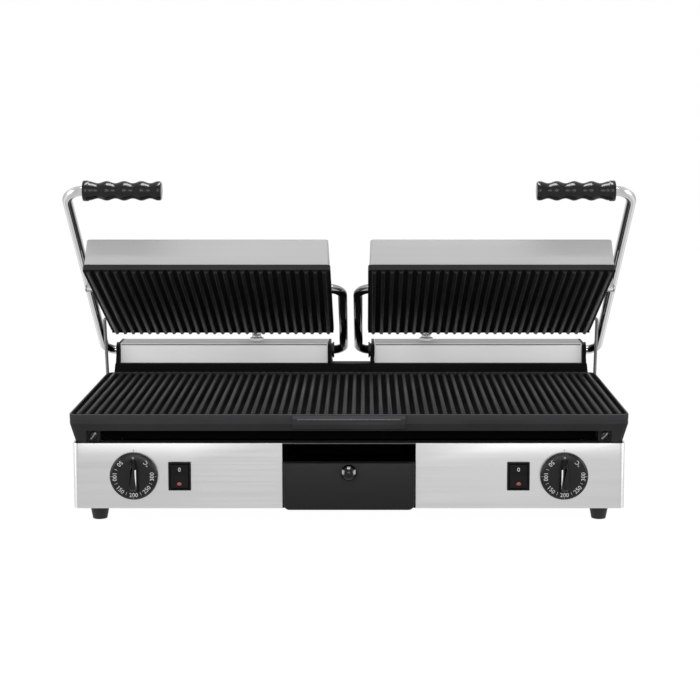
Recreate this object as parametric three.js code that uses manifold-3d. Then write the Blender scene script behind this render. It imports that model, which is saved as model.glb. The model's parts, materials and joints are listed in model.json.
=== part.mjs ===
// Double contact grill: one long ribbed lower plate on a stainless base, and two ribbed lids
// that swing up on chromed round bars. Millimetres, +X right, +Y to the back, +Z up.
// The lids are modelled shut in their own groups and then swung open by named angles.

import * as THREE from 'three';
import { mergeVertices } from 'three/addons/utils/BufferGeometryUtils.js';
import Module from 'manifold-3d';

const wasm = await Module();
wasm.setup();

// Shared clearances and counts
const fit_gap = 0.3;
const running_gap = 0.4;
const overrun = 2;
const sheet = 1.2;
const round_sides = 16;
const bar_sides = 12;
const corner_steps = 3;
const merge_reach = 1e-4;

// Base box
const body_width = 574.6;
const body_depth = 345;
const body_height = 69.3;
const body_corner = 6;
const body_flange = 12;
const foot_height = 17.9;
const foot_top_radius = 9.5;
const foot_low_radius = 6.8;
const foot_side_inset = 22.5;
const foot_end_inset = 31;

// Lower plate
const rib_pitch = 9.55;
const rib_height = 4;
const rib_tip_width = 2.4;
const rib_root_width = 7.6;
const plate_side_reach = 3.8;
const plate_depth = 259;
const plate_height = 30.5;
const plate_slab = 7;
const plate_wall = 5;
const plate_corner = 10;
const plate_wide_low_share = 0.62;
const plate_wide_high_share = 0.8;
const plate_front_reach = 2;
const plate_front_draft = 2;
const plate_skirt_inset = 5.5;
const plate_top_inset = 0.8;
const rib_end_slope = 3.2;
const undercut_height = 12.7;
const undercut_corner = 13;
const leg_step_back = 5;
const leg_step_width = 13;
const plate_screw_radius = 4.4;
const plate_screw_head = 2.2;
const plate_screw_slot = 1;

// Pouring lip in the middle of the lower plate's front
const lip_width = 117;
const lip_reach = 4.2;
const lip_drop = 4;
const lip_height = 9;
const lip_slope = 2;

// Grease drawer and its guide
const opening_width = 139;
const drawer_front_width = 136;
const drawer_front_height = 50;
const drawer_front_reach = 10;
const drawer_front_thick = 3;
const drawer_corner = 8;
const drawer_edge = 4;
const drawer_depth = 236;
const drawer_wall = 1.2;
const drawer_height = 36;
const guide_height = 44;
const drawer_knob_radius = 6.9;
const drawer_knob_neck = 4;
const drawer_knob_stand = 6;
const drawer_knob_drop = 7;
const drawer_screw_radius = 1.8;
const drawer_screw_head = 3.6;

// Thermostats, dials and switches
const dial_side = 223.8;
const dial_height = 34.8;
const dial_radius = 25;
const dial_skirt = 4;
const dial_stand = 0.8;
const dial_dome = 2.2;
const lever_height = 13;
const lever_length = 41;
const lever_low_width = 12.5;
const lever_top_width = 6.5;
const lever_crown_share = 0.62;
const dial_socket = 9;
const spindle_radius = 3;
const spindle_hole = 5;
const thermostat_width = 42;
const thermostat_tall = 34;
const thermostat_deep = 30;
const switch_gap = 10.8;
const switch_height = 34.2;
const bezel_width = 23.4;
const bezel_tall = 30;
const bezel_stand = 1.6;
const bezel_rim = 2.1;
const switch_body_inset = 1.6;
const switch_deep = 24;
const rocker_gap = 0.4;
const rocker_tilt_deg = 7.5;
const rocker_crest = 1.2;
const rocker_deep = 6.5;

// Hinge rail and covers
const rail_gap = 3.5;
const rail_depth = 20;
const rail_above_ribs = 9;
const rail_inset = 0.5;
const rail_taper = 4.5;
const rail_wall = 4;
const cheek_wall = 3.2;
const cheek_flare = 4;
const cheek_inset = 7;
const inner_leg = 15.9;
const cheek_depth = 49;
const cheek_above_hinge = 10.6;
const hinge_above_ribs = 21.4;
const hinge_behind_plate = 33;
const cover_bend = 2.5;
const cover_side_gap = 0.4;
const cover_rise = 0.4;
const bush_wall = 2.4;
const bush_flange = 1.4;
const bush_flange_wall = 1.8;

// Lid frames of round bar
const bar_radius = 5.3;
const outer_bar_gap = 11.6;
const inner_bar_gap = 6;
const grip_bend = 19;
const hinge_bend = 14;
const inner_bend = 14;
const bend_steps = 5;
const bar_in_housing = 16;
const shaft_radius = 6.5;
const spring_radius = 10;
const spring_length = 90;
const grip_reach = 321.7;
const grip_rise = 42.5;
const grip_length = 82.4;
const grip_radius = 10.4;
const grip_waist = 8.2;
const grip_waves = 4;
const grip_end_share = 0.75;
const grip_flange = 5;
const grip_from_bar = 19.2;
const grip_end_gap = 6;
const lug_width = 15;
const lug_wall = 7;
const lug_bite = 1;

// Lids
const pivot_reach = 174.6;
const pivot_above_tips = 20.2;
const closed_gap = 0.5;
const lid_width = 261.2;
const lid_side = 150.5;
const lid_depth = 215;
const lid_rim = 5.8;
const lid_rim_corner = 4;
const lid_boss_width = 14;
const lid_boss_length = 26;
const lid_boss_above_pivot = 9;
const cover_height = 27.1;
const cover_step = 1.3;
const cover_taper = 1.2;
const cover_corner = 3;
const arm_open_deg = 32.19;
const lid_float_deg = 6.49;
const pivot_bolt_radius = 4;
const pivot_head_radius = 7;
const pivot_head_height = 2;

// Heaters
const heater_radius = 3.25;
const heater_steps = 4;
const heater_sides = 6;
const heater_bend = 14;
const heater_edge = 42;

// Leads to the lids
const conduit_radius = 6.4;
const conduit_bore_radius = 4.6;
const conduit_groove = 0.9;
const conduit_pitch = 3.6;
const conduit_points = 8;
const conduit_bore_every = 5;
const conduit_fall_share = 0.33;
const conduit_rise_share = 0.83;
const left_conduit_side = 115;
const right_conduit_side = 91;
const conduit_rise = 20;
const conduit_behind_hinge = 6;
const conduit_collar = 3;
const conduit_collar_wall = 2;
const conduit_above_cover_low = 12.7;
const lead_radius = 1.9;
const lead_stand = 6.7;
const lead_lid_stand = 6.9;
const lead_before_hinge = 14;
const lead_low = 62;
const lead_turn = 3.5;
const lead_lid_back = 14;
const lead_above_cover_low = 4.7;
const grommet_radius = 5;
const grommet_length = 2.8;

// Rear panel, cable gland and terminals
const rear_panel_width = 430;
const rear_panel_tall = 48;
const vent_width = 3;
const vent_pitch = 12;
const vent_count = 8;
const vent_tall = 26;
const vent_side = 120;
const gland_radius = 10;
const gland_length = 12;
const gland_bore = 4.5;
const gland_side = 60;
const terminal_width = 60;
const terminal_deep = 22;
const terminal_tall = 18;
const terminal_ways = 5;
const terminal_slot_share = 0.33;
const terminal_step_share = 0.67;

// Places worked out from the sizes above
const body_low = foot_height;
const body_top = body_low + body_height;
const plate_low = body_top + fit_gap;
const rib_top = plate_low + plate_height;
const plate_half = body_width / 2 + plate_side_reach;
const hinge_y = plate_depth + hinge_behind_plate;
const hinge_z = rib_top + hinge_above_ribs;
const pivot_z = rib_top + closed_gap + pivot_above_tips - hinge_z;
const pivot_y = -Math.sqrt(pivot_reach ** 2 - pivot_z ** 2);
const shell_half = body_width / 2;
const switch_side = dial_side - dial_radius - switch_gap - bezel_width / 2;
const lid_half = lid_width / 2;
const lid_outer = lid_side + lid_half;
const lid_inner = lid_side - lid_half;
const outer_bar_side = lid_outer + outer_bar_gap + bar_radius;
const inner_bar_side = lid_inner - inner_bar_gap - bar_radius;
const rail_low_half = shell_half - rail_inset;
const rail_top_half = rail_low_half - rail_taper;
const cheek_outer = shell_half - cheek_inset;
const cheek_inner = inner_bar_side + inner_leg;
const lead_side = shell_half + lead_stand;
const lead_lid_side = lid_outer + lead_lid_stand;
const rear_most = body_depth + gland_length;
const front_most = drawer_front_reach + fit_gap + drawer_knob_stand + drawer_knob_radius * 2;
const middle_y = (rear_most - front_most) / 2;

// Materials
const steel = () => new THREE.MeshStandardMaterial({ color: 0xc9cacb, roughness: 0.38,
  metalness: 0.9 });
const chrome = () => new THREE.MeshStandardMaterial({ color: 0xd8dadc, roughness: 0.12, metalness: 1 });
const iron = () => new THREE.MeshStandardMaterial({ color: 0x17181a, roughness: 0.62,
  metalness: 0.25 });
const black_steel = () => new THREE.MeshStandardMaterial({ color: 0x121214, roughness: 0.45,
  metalness: 0.4 });
const black_plastic = () => new THREE.MeshStandardMaterial({ color: 0x0c0c0d, roughness: 0.3,
  metalness: 0 });
const rubber = () => new THREE.MeshStandardMaterial({ color: 0x161616, roughness: 0.8, metalness: 0 });
const zinc = () => new THREE.MeshStandardMaterial({ color: 0xa8aaac, roughness: 0.5, metalness: 0.85 });
const brass = () => new THREE.MeshStandardMaterial({ color: 0xb08d4a, roughness: 0.4, metalness: 0.9 });

// Small tools for shapes. A block is given by its two corners.
function block(x0, x1, y0, y1, z0, z1) {
  const geometry = new THREE.BoxGeometry(x1 - x0, y1 - y0, z1 - z0);
  geometry.translate((x0 + x1) / 2, (y0 + y1) / 2, (z0 + z1) / 2);
  return geometry;
}

function solid(geometry) {
  const bare = new THREE.BufferGeometry();
  bare.setAttribute('position', geometry.getAttribute('position').clone());
  if (geometry.index) bare.setIndex(geometry.index.clone());
  const joined = mergeVertices(bare, merge_reach);
  const vertProperties = new Float32Array(joined.getAttribute('position').array);
  const triVerts = new Uint32Array(joined.index.array);
  return new wasm.Manifold(new wasm.Mesh({ numProp: 3, vertProperties, triVerts }));
}

function surface(body) {
  const mesh = body.getMesh();
  const geometry = new THREE.BufferGeometry();
  geometry.setAttribute('position',
    new THREE.BufferAttribute(new Float32Array(mesh.vertProperties), 3));
  geometry.setIndex(new THREE.BufferAttribute(new Uint32Array(mesh.triVerts), 1));
  geometry.computeVertexNormals();
  return geometry;
}

function join(...parts) {
  return parts.map((part) => (part.isBufferGeometry ? solid(part) : part)).reduce((a, b) => a.add(b));
}

function cut(body, ...tools) {
  const start = body.isBufferGeometry ? solid(body) : body;
  return tools.map((tool) => (tool.isBufferGeometry ? solid(tool) : tool))
    .reduce((a, b) => a.subtract(b), start);
}

function both(a, b) {
  return join(a).intersect(join(b));
}

function place(parent, name, shape, material) {
  const geometry = shape.isBufferGeometry ? shape : surface(shape);
  const mesh = new THREE.Mesh(geometry, material);
  mesh.name = name;
  parent.add(mesh);
  return mesh;
}

// A closed skin over rings of as many points each, which run to the left seen from the last ring.
function lofted(rings) {
  const count = rings[0].length;
  const faces = [];
  for (let row = 0; row + 1 < rings.length; row += 1) {
    for (let at = 0; at < count; at += 1) {
      const a = row * count + at;
      const b = row * count + (at + 1) % count;
      faces.push(a, b, b + count, a, b + count, a + count);
    }
  }
  const last = (rings.length - 1) * count;
  for (let at = 1; at + 1 < count; at += 1) {
    faces.push(0, at + 1, at);
    faces.push(last, last + at, last + at + 1);
  }
  const geometry = new THREE.BufferGeometry();
  geometry.setAttribute('position', new THREE.Float32BufferAttribute(rings.flat(2), 3));
  geometry.setIndex(faces);
  return geometry;
}

// A stack of rounded rectangles: each level has a half width, front, back, height and corner radius.
function stack(levels, steps = corner_steps) {
  return lofted(levels.map(({ half, front, back, z, corner }) => {
    const corners = [[half, back], [-half, back], [-half, front], [half, front]];
    return corners.flatMap(([x, y], quarter) => {
      const middle_x = x - Math.sign(x) * corner;
      const middle_y_here = y === back ? back - corner : front + corner;
      return Array.from({ length: steps + 1 }, (_, step) => {
        const turn = (quarter + step / steps) * Math.PI / 2;
        return [middle_x + corner * Math.cos(turn), middle_y_here + corner * Math.sin(turn), z];
      });
    });
  }));
}

function slab(half, front, back, low, high, corner) {
  return stack([
    { half, front, back, z: low, corner },
    { half, front, back, z: high, corner },
  ]);
}

// A flat outline of [y, z] points drawn from the side and pulled along X.
function side_outline(points, x0, x1) {
  const outline = new THREE.Shape(points.map(([y, z]) => new THREE.Vector2(y, z)));
  const geometry = new THREE.ExtrudeGeometry(outline,
    { depth: x1 - x0, bevelEnabled: false, curveSegments: 1 });
  geometry.applyMatrix4(new THREE.Matrix4().makeBasis(
    new THREE.Vector3(0, 1, 0), new THREE.Vector3(0, 0, 1), new THREE.Vector3(1, 0, 0)));
  geometry.translate(x0, 0, 0);
  return geometry;
}

// A flat outline of [x, z] points drawn from the front and pulled along Y.
function front_outline(points, y0, y1) {
  const outline = new THREE.Shape(points.map(([x, z]) => new THREE.Vector2(x, z)));
  const geometry = new THREE.ExtrudeGeometry(outline,
    { depth: y1 - y0, bevelEnabled: false, curveSegments: 1 });
  geometry.rotateX(Math.PI / 2);
  geometry.translate(0, y1, 0);
  return geometry;
}

// A turned shape: [radius, along] points, with its axis on X, Y or Z.
function turned(points, axis, sides = round_sides) {
  const profile = points.map(([radius, along]) => new THREE.Vector2(radius, along));
  const geometry = new THREE.LatheGeometry(profile, sides);
  if (axis === 'x') geometry.rotateZ(-Math.PI / 2);
  if (axis === 'z') geometry.rotateX(Math.PI / 2);
  return geometry;
}

function rod(radius, from, to, axis, sides = round_sides) {
  const geometry = new THREE.CylinderGeometry(radius, radius, to - from, sides);
  if (axis === 'x') geometry.rotateZ(-Math.PI / 2);
  if (axis === 'z') geometry.rotateX(Math.PI / 2);
  const middle = (from + to) / 2;
  geometry.translate(axis === 'x' ? middle : 0, axis === 'y' ? middle : 0, axis === 'z' ? middle : 0);
  return geometry;
}

function ring(outer, inner, from, to, axis, sides = round_sides) {
  return cut(rod(outer, from, to, axis, sides), rod(inner, from - overrun, to + overrun, axis, sides));
}

function moved(geometry, x, y, z) {
  geometry.translate(x, y, z);
  return geometry;
}

// The middle line of a bar with straight runs and round bends at its inner corners.
class BentLine extends THREE.Curve {
  constructor(corners, bends, steps) {
    super();
    this.knots = [corners[0]];
    for (let at = 1; at + 1 < corners.length; at += 1) {
      const back = corners[at - 1].clone().sub(corners[at]).normalize();
      const ahead = corners[at + 1].clone().sub(corners[at]).normalize();
      const radius = bends[at - 1];
      const half_angle = back.angleTo(ahead) / 2;
      const run = radius / Math.tan(half_angle);
      const centre = back.clone().add(ahead).normalize().multiplyScalar(radius / Math.sin(half_angle));
      const first = back.clone().multiplyScalar(run).sub(centre);
      const second = ahead.clone().multiplyScalar(run).sub(centre);
      const sweep = first.angleTo(second);
      for (let step = 0; step <= steps; step += 1) {
        const part = step / steps;
        const a = Math.sin((1 - part) * sweep) / Math.sin(sweep);
        const b = Math.sin(part * sweep) / Math.sin(sweep);
        const knot = first.clone().multiplyScalar(a).add(second.clone().multiplyScalar(b));
        this.knots.push(knot.add(centre).add(corners[at]));
      }
    }
    this.knots.push(corners[corners.length - 1]);
  }

  getPoint(share, target = new THREE.Vector3()) {
    const spans = this.knots.length - 1;
    const span = Math.min(Math.floor(share * spans), spans - 1);
    return target.copy(this.knots[span]).lerp(this.knots[span + 1], share * spans - span);
  }

  getUtoTmapping(share) {
    return share;
  }
}

function circle_shape(radius, sides) {
  const shape = new THREE.Shape();
  for (let at = 0; at < sides; at += 1) {
    const turn = (at / sides) * Math.PI * 2;
    if (at === 0) shape.moveTo(radius * Math.cos(turn), radius * Math.sin(turn));
    else shape.lineTo(radius * Math.cos(turn), radius * Math.sin(turn));
  }
  shape.closePath();
  return shape;
}

function bent_bar(corners, radius, bends, steps, sides) {
  const line = new BentLine(corners, bends, steps);
  return new THREE.ExtrudeGeometry(circle_shape(radius, sides), {
    steps: line.knots.length - 1, extrudePath: line, bevelEnabled: false, curveSegments: 1,
  });
}

const point = (x, y, z) => new THREE.Vector3(x, y, z);

// The whole grill hangs in one group, so that the origin is under the middle of its box.
const grill = new THREE.Group();
grill.position.y = -middle_y;

function base_shell() {
  const outer = slab(shell_half, 0, body_depth, body_low, body_top, body_corner);
  const pocket = slab(shell_half - sheet, sheet, body_depth - sheet, body_low - overrun,
    body_top - sheet,
    body_corner - sheet);
  const window = slab(shell_half - body_flange, body_flange, plate_depth - body_flange, body_low,
    body_top + overrun,
    body_corner);
  const cuts = [pocket, window];
  const half = opening_width / 2;
  cuts.push(block(-half, half, -overrun, sheet + overrun, body_low - overrun, body_top - sheet));
  for (const side of [-1, 1]) {
    const dial_x = side * dial_side;
    const switch_x = side * switch_side;
    const wide = bezel_width / 2 - switch_body_inset + fit_gap;
    const tall = bezel_tall / 2 - switch_body_inset + fit_gap;
    const middle = body_low + switch_height;
    cuts.push(moved(rod(spindle_hole, -overrun, sheet + overrun, 'y'), dial_x, 0,
      body_low + dial_height));
    cuts.push(block(switch_x - wide, switch_x + wide, -overrun, sheet + overrun, middle - tall,
      middle + tall));
  }
  const rear = rear_panel_width / 2 + fit_gap;
  const rear_middle = body_low + body_height / 2;
  const rear_half = rear_panel_tall / 2 + fit_gap;
  cuts.push(block(-rear, rear, body_depth - sheet - overrun, body_depth + overrun,
    rear_middle - rear_half, rear_middle + rear_half));
  return cut(outer, ...cuts);
}

function base_floor() {
  const edge = sheet + fit_gap;
  return slab(shell_half - edge, edge, body_depth - edge, body_low, body_low + sheet,
    body_corner - sheet);
}

function rear_panel() {
  const half = rear_panel_width / 2;
  const middle = body_low + body_height / 2;
  const tall = rear_panel_tall / 2;
  const inner = body_depth - sheet - fit_gap;
  const plug = block(-half, half, inner - sheet, body_depth, middle - tall, middle + tall);
  const rim = block(-half - body_corner, half + body_corner, inner - sheet, inner,
    middle - tall - sheet, middle + tall + sheet);
  const cuts = [moved(rod(gland_radius / 2 + fit_gap, inner - sheet - overrun, body_depth + overrun,
    'y'), gland_side, 0, middle)];
  for (const side of [-1, 1]) {
    for (let at = 0; at < vent_count; at += 1) {
      const x = side * vent_side + (at - (vent_count - 1) / 2) * vent_pitch;
      cuts.push(block(x - vent_width / 2, x + vent_width / 2, inner - sheet - overrun,
        body_depth + overrun,
        middle - vent_tall / 2, middle + vent_tall / 2));
    }
  }
  return cut(join(plug, rim), ...cuts);
}

function foot() {
  return turned([[0, -foot_height], [foot_low_radius - fit_gap, -foot_height],
    [foot_low_radius, -foot_height + fit_gap],
    [foot_top_radius, -fit_gap], [0, -fit_gap]], 'z');
}

// Ribs along Y on a flat root: the outline of one side seen from the front, closed along its base.
function rib_row(reach, root_z, tip_z, base_z) {
  const count = Math.floor((reach * 2) / rib_pitch);
  const start = (-count * rib_pitch) / 2;
  const points = [[start, base_z]];
  for (let at = 0; at < count; at += 1) {
    const middle = start + (at + 1 / 2) * rib_pitch;
    points.push([middle - rib_root_width / 2, root_z], [middle - rib_tip_width / 2, tip_z]);
    points.push([middle + rib_tip_width / 2, tip_z], [middle + rib_root_width / 2, root_z]);
  }
  points.push([start + count * rib_pitch, base_z]);
  return points;
}

function lower_plate() {
  const root_z = rib_top - rib_height;
  const slab_low = root_z - plate_slab;
  const front = -plate_front_reach;
  const level = (z, side_inset, draft) => ({
    half: plate_half - side_inset, front: front + draft, back: plate_depth - draft, z,
      corner: plate_corner,
  });
  const skin = stack([
    level(plate_low, plate_skirt_inset, plate_front_draft),
    level(plate_low + plate_wide_low_share * plate_height, 0, 0),
    level(plate_low + plate_wide_high_share * plate_height, 0, 0),
    level(root_z, plate_top_inset, plate_top_inset),
  ]);
  const wall = plate_wall + plate_skirt_inset;
  const hollow = slab(plate_half - wall, front + plate_wall + plate_front_draft,
    plate_depth - plate_wall - plate_front_draft, plate_low - overrun, slab_low,
      plate_corner - plate_wall);
  const rib_front = front + plate_top_inset;
  const rib_back = plate_depth - plate_top_inset;
  const row = front_outline(rib_row(plate_half - plate_top_inset, root_z, rib_top, slab_low), rib_front,
    rib_back);
  const trim = side_outline([[rib_front, slab_low + sheet], [rib_back, slab_low + sheet],
    [rib_back, root_z],
    [rib_back - rib_end_slope, rib_top + fit_gap], [rib_front + rib_end_slope, rib_top + fit_gap],
      [rib_front, root_z]],
  -plate_half, plate_half);
  const outline = slab(plate_half - plate_top_inset, rib_front, rib_back, slab_low + sheet,
    rib_top + overrun, plate_corner);
  const ribs = both(both(row, trim), outline);
  const under_half = plate_half - plate_skirt_inset - undercut_corner;
  const under_top = plate_low + undercut_height;
  const under_long = block(-under_half, under_half, front - overrun, plate_depth / 2,
    plate_low - overrun, under_top);
  const under_wide = block(-plate_half - overrun, plate_half + overrun, undercut_corner,
    plate_depth - undercut_corner,
    plate_low - overrun, under_top);
  const lip_top = rib_top - lip_drop;
  const lip = side_outline([[front + sheet, lip_top - lip_slope * 2 - lip_height],
    [front + sheet, lip_top],
    [front - lip_reach, lip_top - lip_slope],
      [front - lip_reach, lip_top - lip_slope - lip_height]].reverse(),
  -lip_width / 2, lip_width / 2);
  let body = cut(join(skin, ribs, lip), hollow, under_long, under_wide);
  for (const side of [-1, 1]) {
    const outer = side * (under_half + sheet);
    const inner = side * (under_half - leg_step_width);
    const leg = block(Math.min(outer, inner), Math.max(outer, inner), leg_step_back,
      leg_step_back + leg_step_width,
      plate_low, slab_low + sheet);
    body = join(body, leg);
    const hole = rod(plate_screw_radius / 2 + fit_gap, leg_step_back - overrun,
      leg_step_back + leg_step_width / 2, 'y');
    body = cut(body, moved(hole, side * (under_half - leg_step_width / 2), 0,
      plate_low + undercut_height / 2));
  }
  return body;
}

function plate_screw() {
  const head_back = leg_step_back - fit_gap;
  const head = rod(plate_screw_radius, head_back - plate_screw_head, head_back, 'y');
  const shank = rod(plate_screw_radius / 2, head_back - sheet,
    leg_step_back + leg_step_width / 2 - fit_gap, 'y');
  const slot = block(-plate_screw_radius - overrun, plate_screw_radius + overrun,
    head_back - plate_screw_head - overrun,
    head_back - plate_screw_head / 2, -plate_screw_slot / 2, plate_screw_slot / 2);
  return cut(join(head, shank), slot);
}

// A sheathed heating bar bent in one plane to three runs along X.
function heater(half_width, front, back, z) {
  const middle = (front + back) / 2;
  const corners = [[-1, back], [1, back], [1, middle], [-1, middle], [-1, front], [1, front]];
  const bends = corners.slice(2).map(() => heater_bend);
  return bent_bar(corners.map(([share, y]) => point(share * half_width, y, z)), heater_radius, bends,
    heater_steps, heater_sides);
}

function heat_shield() {
  const top = rib_top - rib_height - plate_slab - heater_radius * 2 - fit_gap;
  const low = body_top + fit_gap;
  const half = plate_half - plate_skirt_inset - undercut_corner - leg_step_width - running_gap;
  const front = leg_step_back + leg_step_width + running_gap;
  const back = plate_depth - leg_step_width;
  const pan = cut(block(-half, half, front, back, low, top - fit_gap),
    block(-half + sheet, half - sheet, front + sheet, back - sheet, low + sheet, top));
  const post = leg_step_width;
  const posts = [-1, 1].map((side) => {
    const middle = side * (lip_width / 2 - post / 2);
    return block(middle - post / 2, middle + post / 2, front - sheet, front + sheet, low,
      top - fit_gap);
  });
  return join(pan, ...posts);
}

const tray_half = opening_width / 2 - running_gap - sheet * 3;
const guide_low = body_low + sheet + fit_gap;
const tray_low = guide_low + sheet + running_gap;
const tray_inner_front = -drawer_front_reach + drawer_front_thick;

function drawer_guide() {
  const inner = tray_half + running_gap;
  const front = sheet + fit_gap;
  const back = drawer_depth + running_gap * 2;
  return cut(block(-inner - sheet, inner + sheet, front, back + sheet, guide_low,
    guide_low + guide_height),
    block(-inner, inner, front - overrun, back, guide_low + sheet, guide_low + guide_height + overrun));
}

function drawer_tray() {
  const half = drawer_front_width / 2;
  const low = body_low - sheet / 10;
  const high = low + drawer_front_height;
  const face = [];
  for (let step = 0; step <= corner_steps; step += 1) {
    const turn = (step / corner_steps) * Math.PI / 2;
    face.push([half - drawer_corner + drawer_corner * Math.sin(turn),
      low + drawer_corner - drawer_corner * Math.cos(turn)]);
  }
  const outline = [...face, [half, high + overrun], [-half, high + overrun],
    ...face.map(([x, z]) => [-x, z]).reverse()];
  const plan = slab(half, -drawer_front_reach, drawer_front_reach * 2, low - overrun, high,
    drawer_edge);
  const front = both(plan, front_outline(outline, -drawer_front_reach - overrun, 0));
  const tray = block(-tray_half, tray_half, tray_inner_front - sheet, drawer_depth, tray_low,
    tray_low + drawer_height);
  const inside = block(-tray_half + drawer_wall, tray_half - drawer_wall, tray_inner_front,
    drawer_depth - drawer_wall,
    tray_low + drawer_wall, high + overrun);
  const behind = block(-half + drawer_edge, half - drawer_edge, tray_inner_front, drawer_front_reach,
    tray_low + drawer_height, high + overrun);
  const hole = moved(rod(drawer_screw_radius + fit_gap, -drawer_front_reach - overrun,
    tray_inner_front + overrun, 'y'),
    0, 0, high - drawer_knob_drop);
  return cut(join(front, tray), inside, behind, hole);
}

function drawer_knob() {
  const seat = -drawer_front_reach - fit_gap;
  const middle = seat - drawer_knob_stand - drawer_knob_radius;
  const reach = Math.sqrt(drawer_knob_radius ** 2 - drawer_knob_neck ** 2);
  const points = [[0, middle - drawer_knob_radius]];
  const sweep = Math.PI - Math.asin(drawer_knob_neck / drawer_knob_radius);
  const steps = corner_steps * 3;
  for (let step = 1; step <= steps; step += 1) {
    const turn = (step / steps) * sweep;
    points.push([drawer_knob_radius * Math.sin(turn), middle - drawer_knob_radius * Math.cos(turn)]);
  }
  points.push([drawer_knob_neck, middle + reach + fit_gap], [drawer_knob_neck, seat], [0, seat]);
  return cut(turned(points, 'y'), rod(drawer_screw_radius + fit_gap, middle, seat + overrun, 'y',
    corner_steps * 3));
}

function drawer_knob_screw() {
  const tip = -drawer_front_reach - fit_gap - drawer_knob_stand;
  const head_low = tray_inner_front + fit_gap;
  const shank = rod(drawer_screw_radius, tip, head_low + sheet, 'y', corner_steps * 3);
  return join(shank, rod(drawer_screw_head, head_low, head_low + drawer_screw_radius, 'y',
    corner_steps * 3));
}

function thermostat() {
  const back = sheet + fit_gap;
  const box = block(-thermostat_width / 2, thermostat_width / 2, back, back + thermostat_deep,
    -thermostat_tall / 2, thermostat_tall / 2);
  return join(box, rod(spindle_radius, -dial_stand - dial_socket + running_gap, back + sheet, 'y',
    corner_steps * 4));
}

function dial_knob() {
  const seat = -dial_stand;
  const face = seat - dial_skirt;
  const crown = face - dial_dome;
  const disc = turned([[0, crown], [dial_radius - dial_dome * 2, crown],
    [dial_radius - dial_dome, crown + dial_dome / 4],
    [dial_radius, face + dial_dome / 4], [dial_radius, seat], [0, seat]], 'y', round_sides * 2);
  const half = lever_length / 2;
  const outline = [[-lever_low_width / 2, -half + lever_low_width / 4], [-lever_low_width / 4, -half],
    [lever_low_width / 4, -half], [lever_low_width / 2, -half + lever_low_width / 4],
    [lever_top_width / 2, half - lever_top_width / 2], [lever_top_width / 4, half],
    [-lever_top_width / 4, half], [-lever_top_width / 2, half - lever_top_width / 2]];
  const level = (share, y) => outline.map(([x, z]) => [x * share, y, z]);
  const lever = lofted([level(1, crown + sheet), level(1, crown - dial_dome),
    level(lever_crown_share, seat - dial_skirt - lever_height)]);
  return cut(join(disc, lever), rod(spindle_radius + running_gap, -dial_stand - dial_socket,
    seat + overrun, 'y'));
}

function switch_housing() {
  const wide = bezel_width / 2;
  const tall = bezel_tall / 2;
  const inset = switch_body_inset;
  const face = -bezel_stand - fit_gap;
  const bezel = block(-wide, wide, face, -fit_gap, -tall, tall);
  const body = block(-wide + inset, wide - inset, -fit_gap - bezel_stand / 2, switch_deep,
    -tall + inset, tall - inset);
  const pocket = block(-wide + bezel_rim, wide - bezel_rim, face - overrun, switch_deep / 2,
    -tall + bezel_rim, tall - bezel_rim);
  return cut(join(bezel, body), pocket);
}

function rocker() {
  const wide = bezel_width / 2 - bezel_rim - rocker_gap;
  const tall = bezel_tall / 2 - bezel_rim - rocker_gap * 2;
  const tilt = THREE.MathUtils.degToRad(rocker_tilt_deg);
  const valley = -bezel_stand - rocker_crest / 2;
  const end = valley - tall * Math.tan(tilt);
  return side_outline([[valley, 0], [end, tall], [rocker_deep / 2, tall - rocker_crest],
    [rocker_deep, 0],
    [rocker_deep / 2, -tall + rocker_crest], [end, -tall]].reverse(), -wide, wide);
}

function terminal_block() {
  const half = terminal_width / 2;
  const base = body_low + sheet + fit_gap;
  const back = body_depth - sheet * 2 - fit_gap * 2 - gland_length * 2;
  const body = block(-half, half, back - terminal_deep, back, base, base + terminal_tall);
  const pitch = terminal_width / terminal_ways;
  const slot = pitch * terminal_slot_share;
  const step_back = back - terminal_deep * terminal_step_share;
  const step_up = base + terminal_tall * terminal_slot_share;
  const ways = Array.from({ length: terminal_ways }, (_, at) => {
    const x = -half + pitch / 2 + at * pitch;
    return block(x - slot, x + slot, back - terminal_deep - overrun, step_back,
      step_up, base + terminal_tall + overrun);
  });
  return cut(body, ...ways);
}

function cable_gland() {
  const inner = body_depth - sheet * 2 - fit_gap * 2;
  const neck = rod(gland_radius / 2, inner - gland_length / 2, body_depth + fit_gap + sheet, 'y');
  const nut = rod(gland_radius, body_depth + fit_gap, body_depth + gland_length / 2, 'y',
    corner_steps + 2);
  const cap = turned([[0, body_depth + gland_length / 2 - sheet],
    [gland_radius - sheet, body_depth + gland_length / 2 - sheet],
    [gland_radius * 2 / 3, body_depth + gland_length], [0, body_depth + gland_length]], 'y');
  const lock = rod(gland_radius, inner - gland_length / 2, inner - fit_gap, 'y', corner_steps + 2);
  return cut(join(neck, nut, cap, lock),
    rod(gland_bore, inner - gland_length, body_depth + gland_length + overrun, 'y'));
}

const rail_front = plate_depth + rail_gap;
const rail_low = body_top + fit_gap;
const rail_top = rib_top + rail_above_ribs;
const cheek_top = hinge_z + cheek_above_hinge;
const bush_outer = bar_radius + running_gap + bush_wall;

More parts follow.
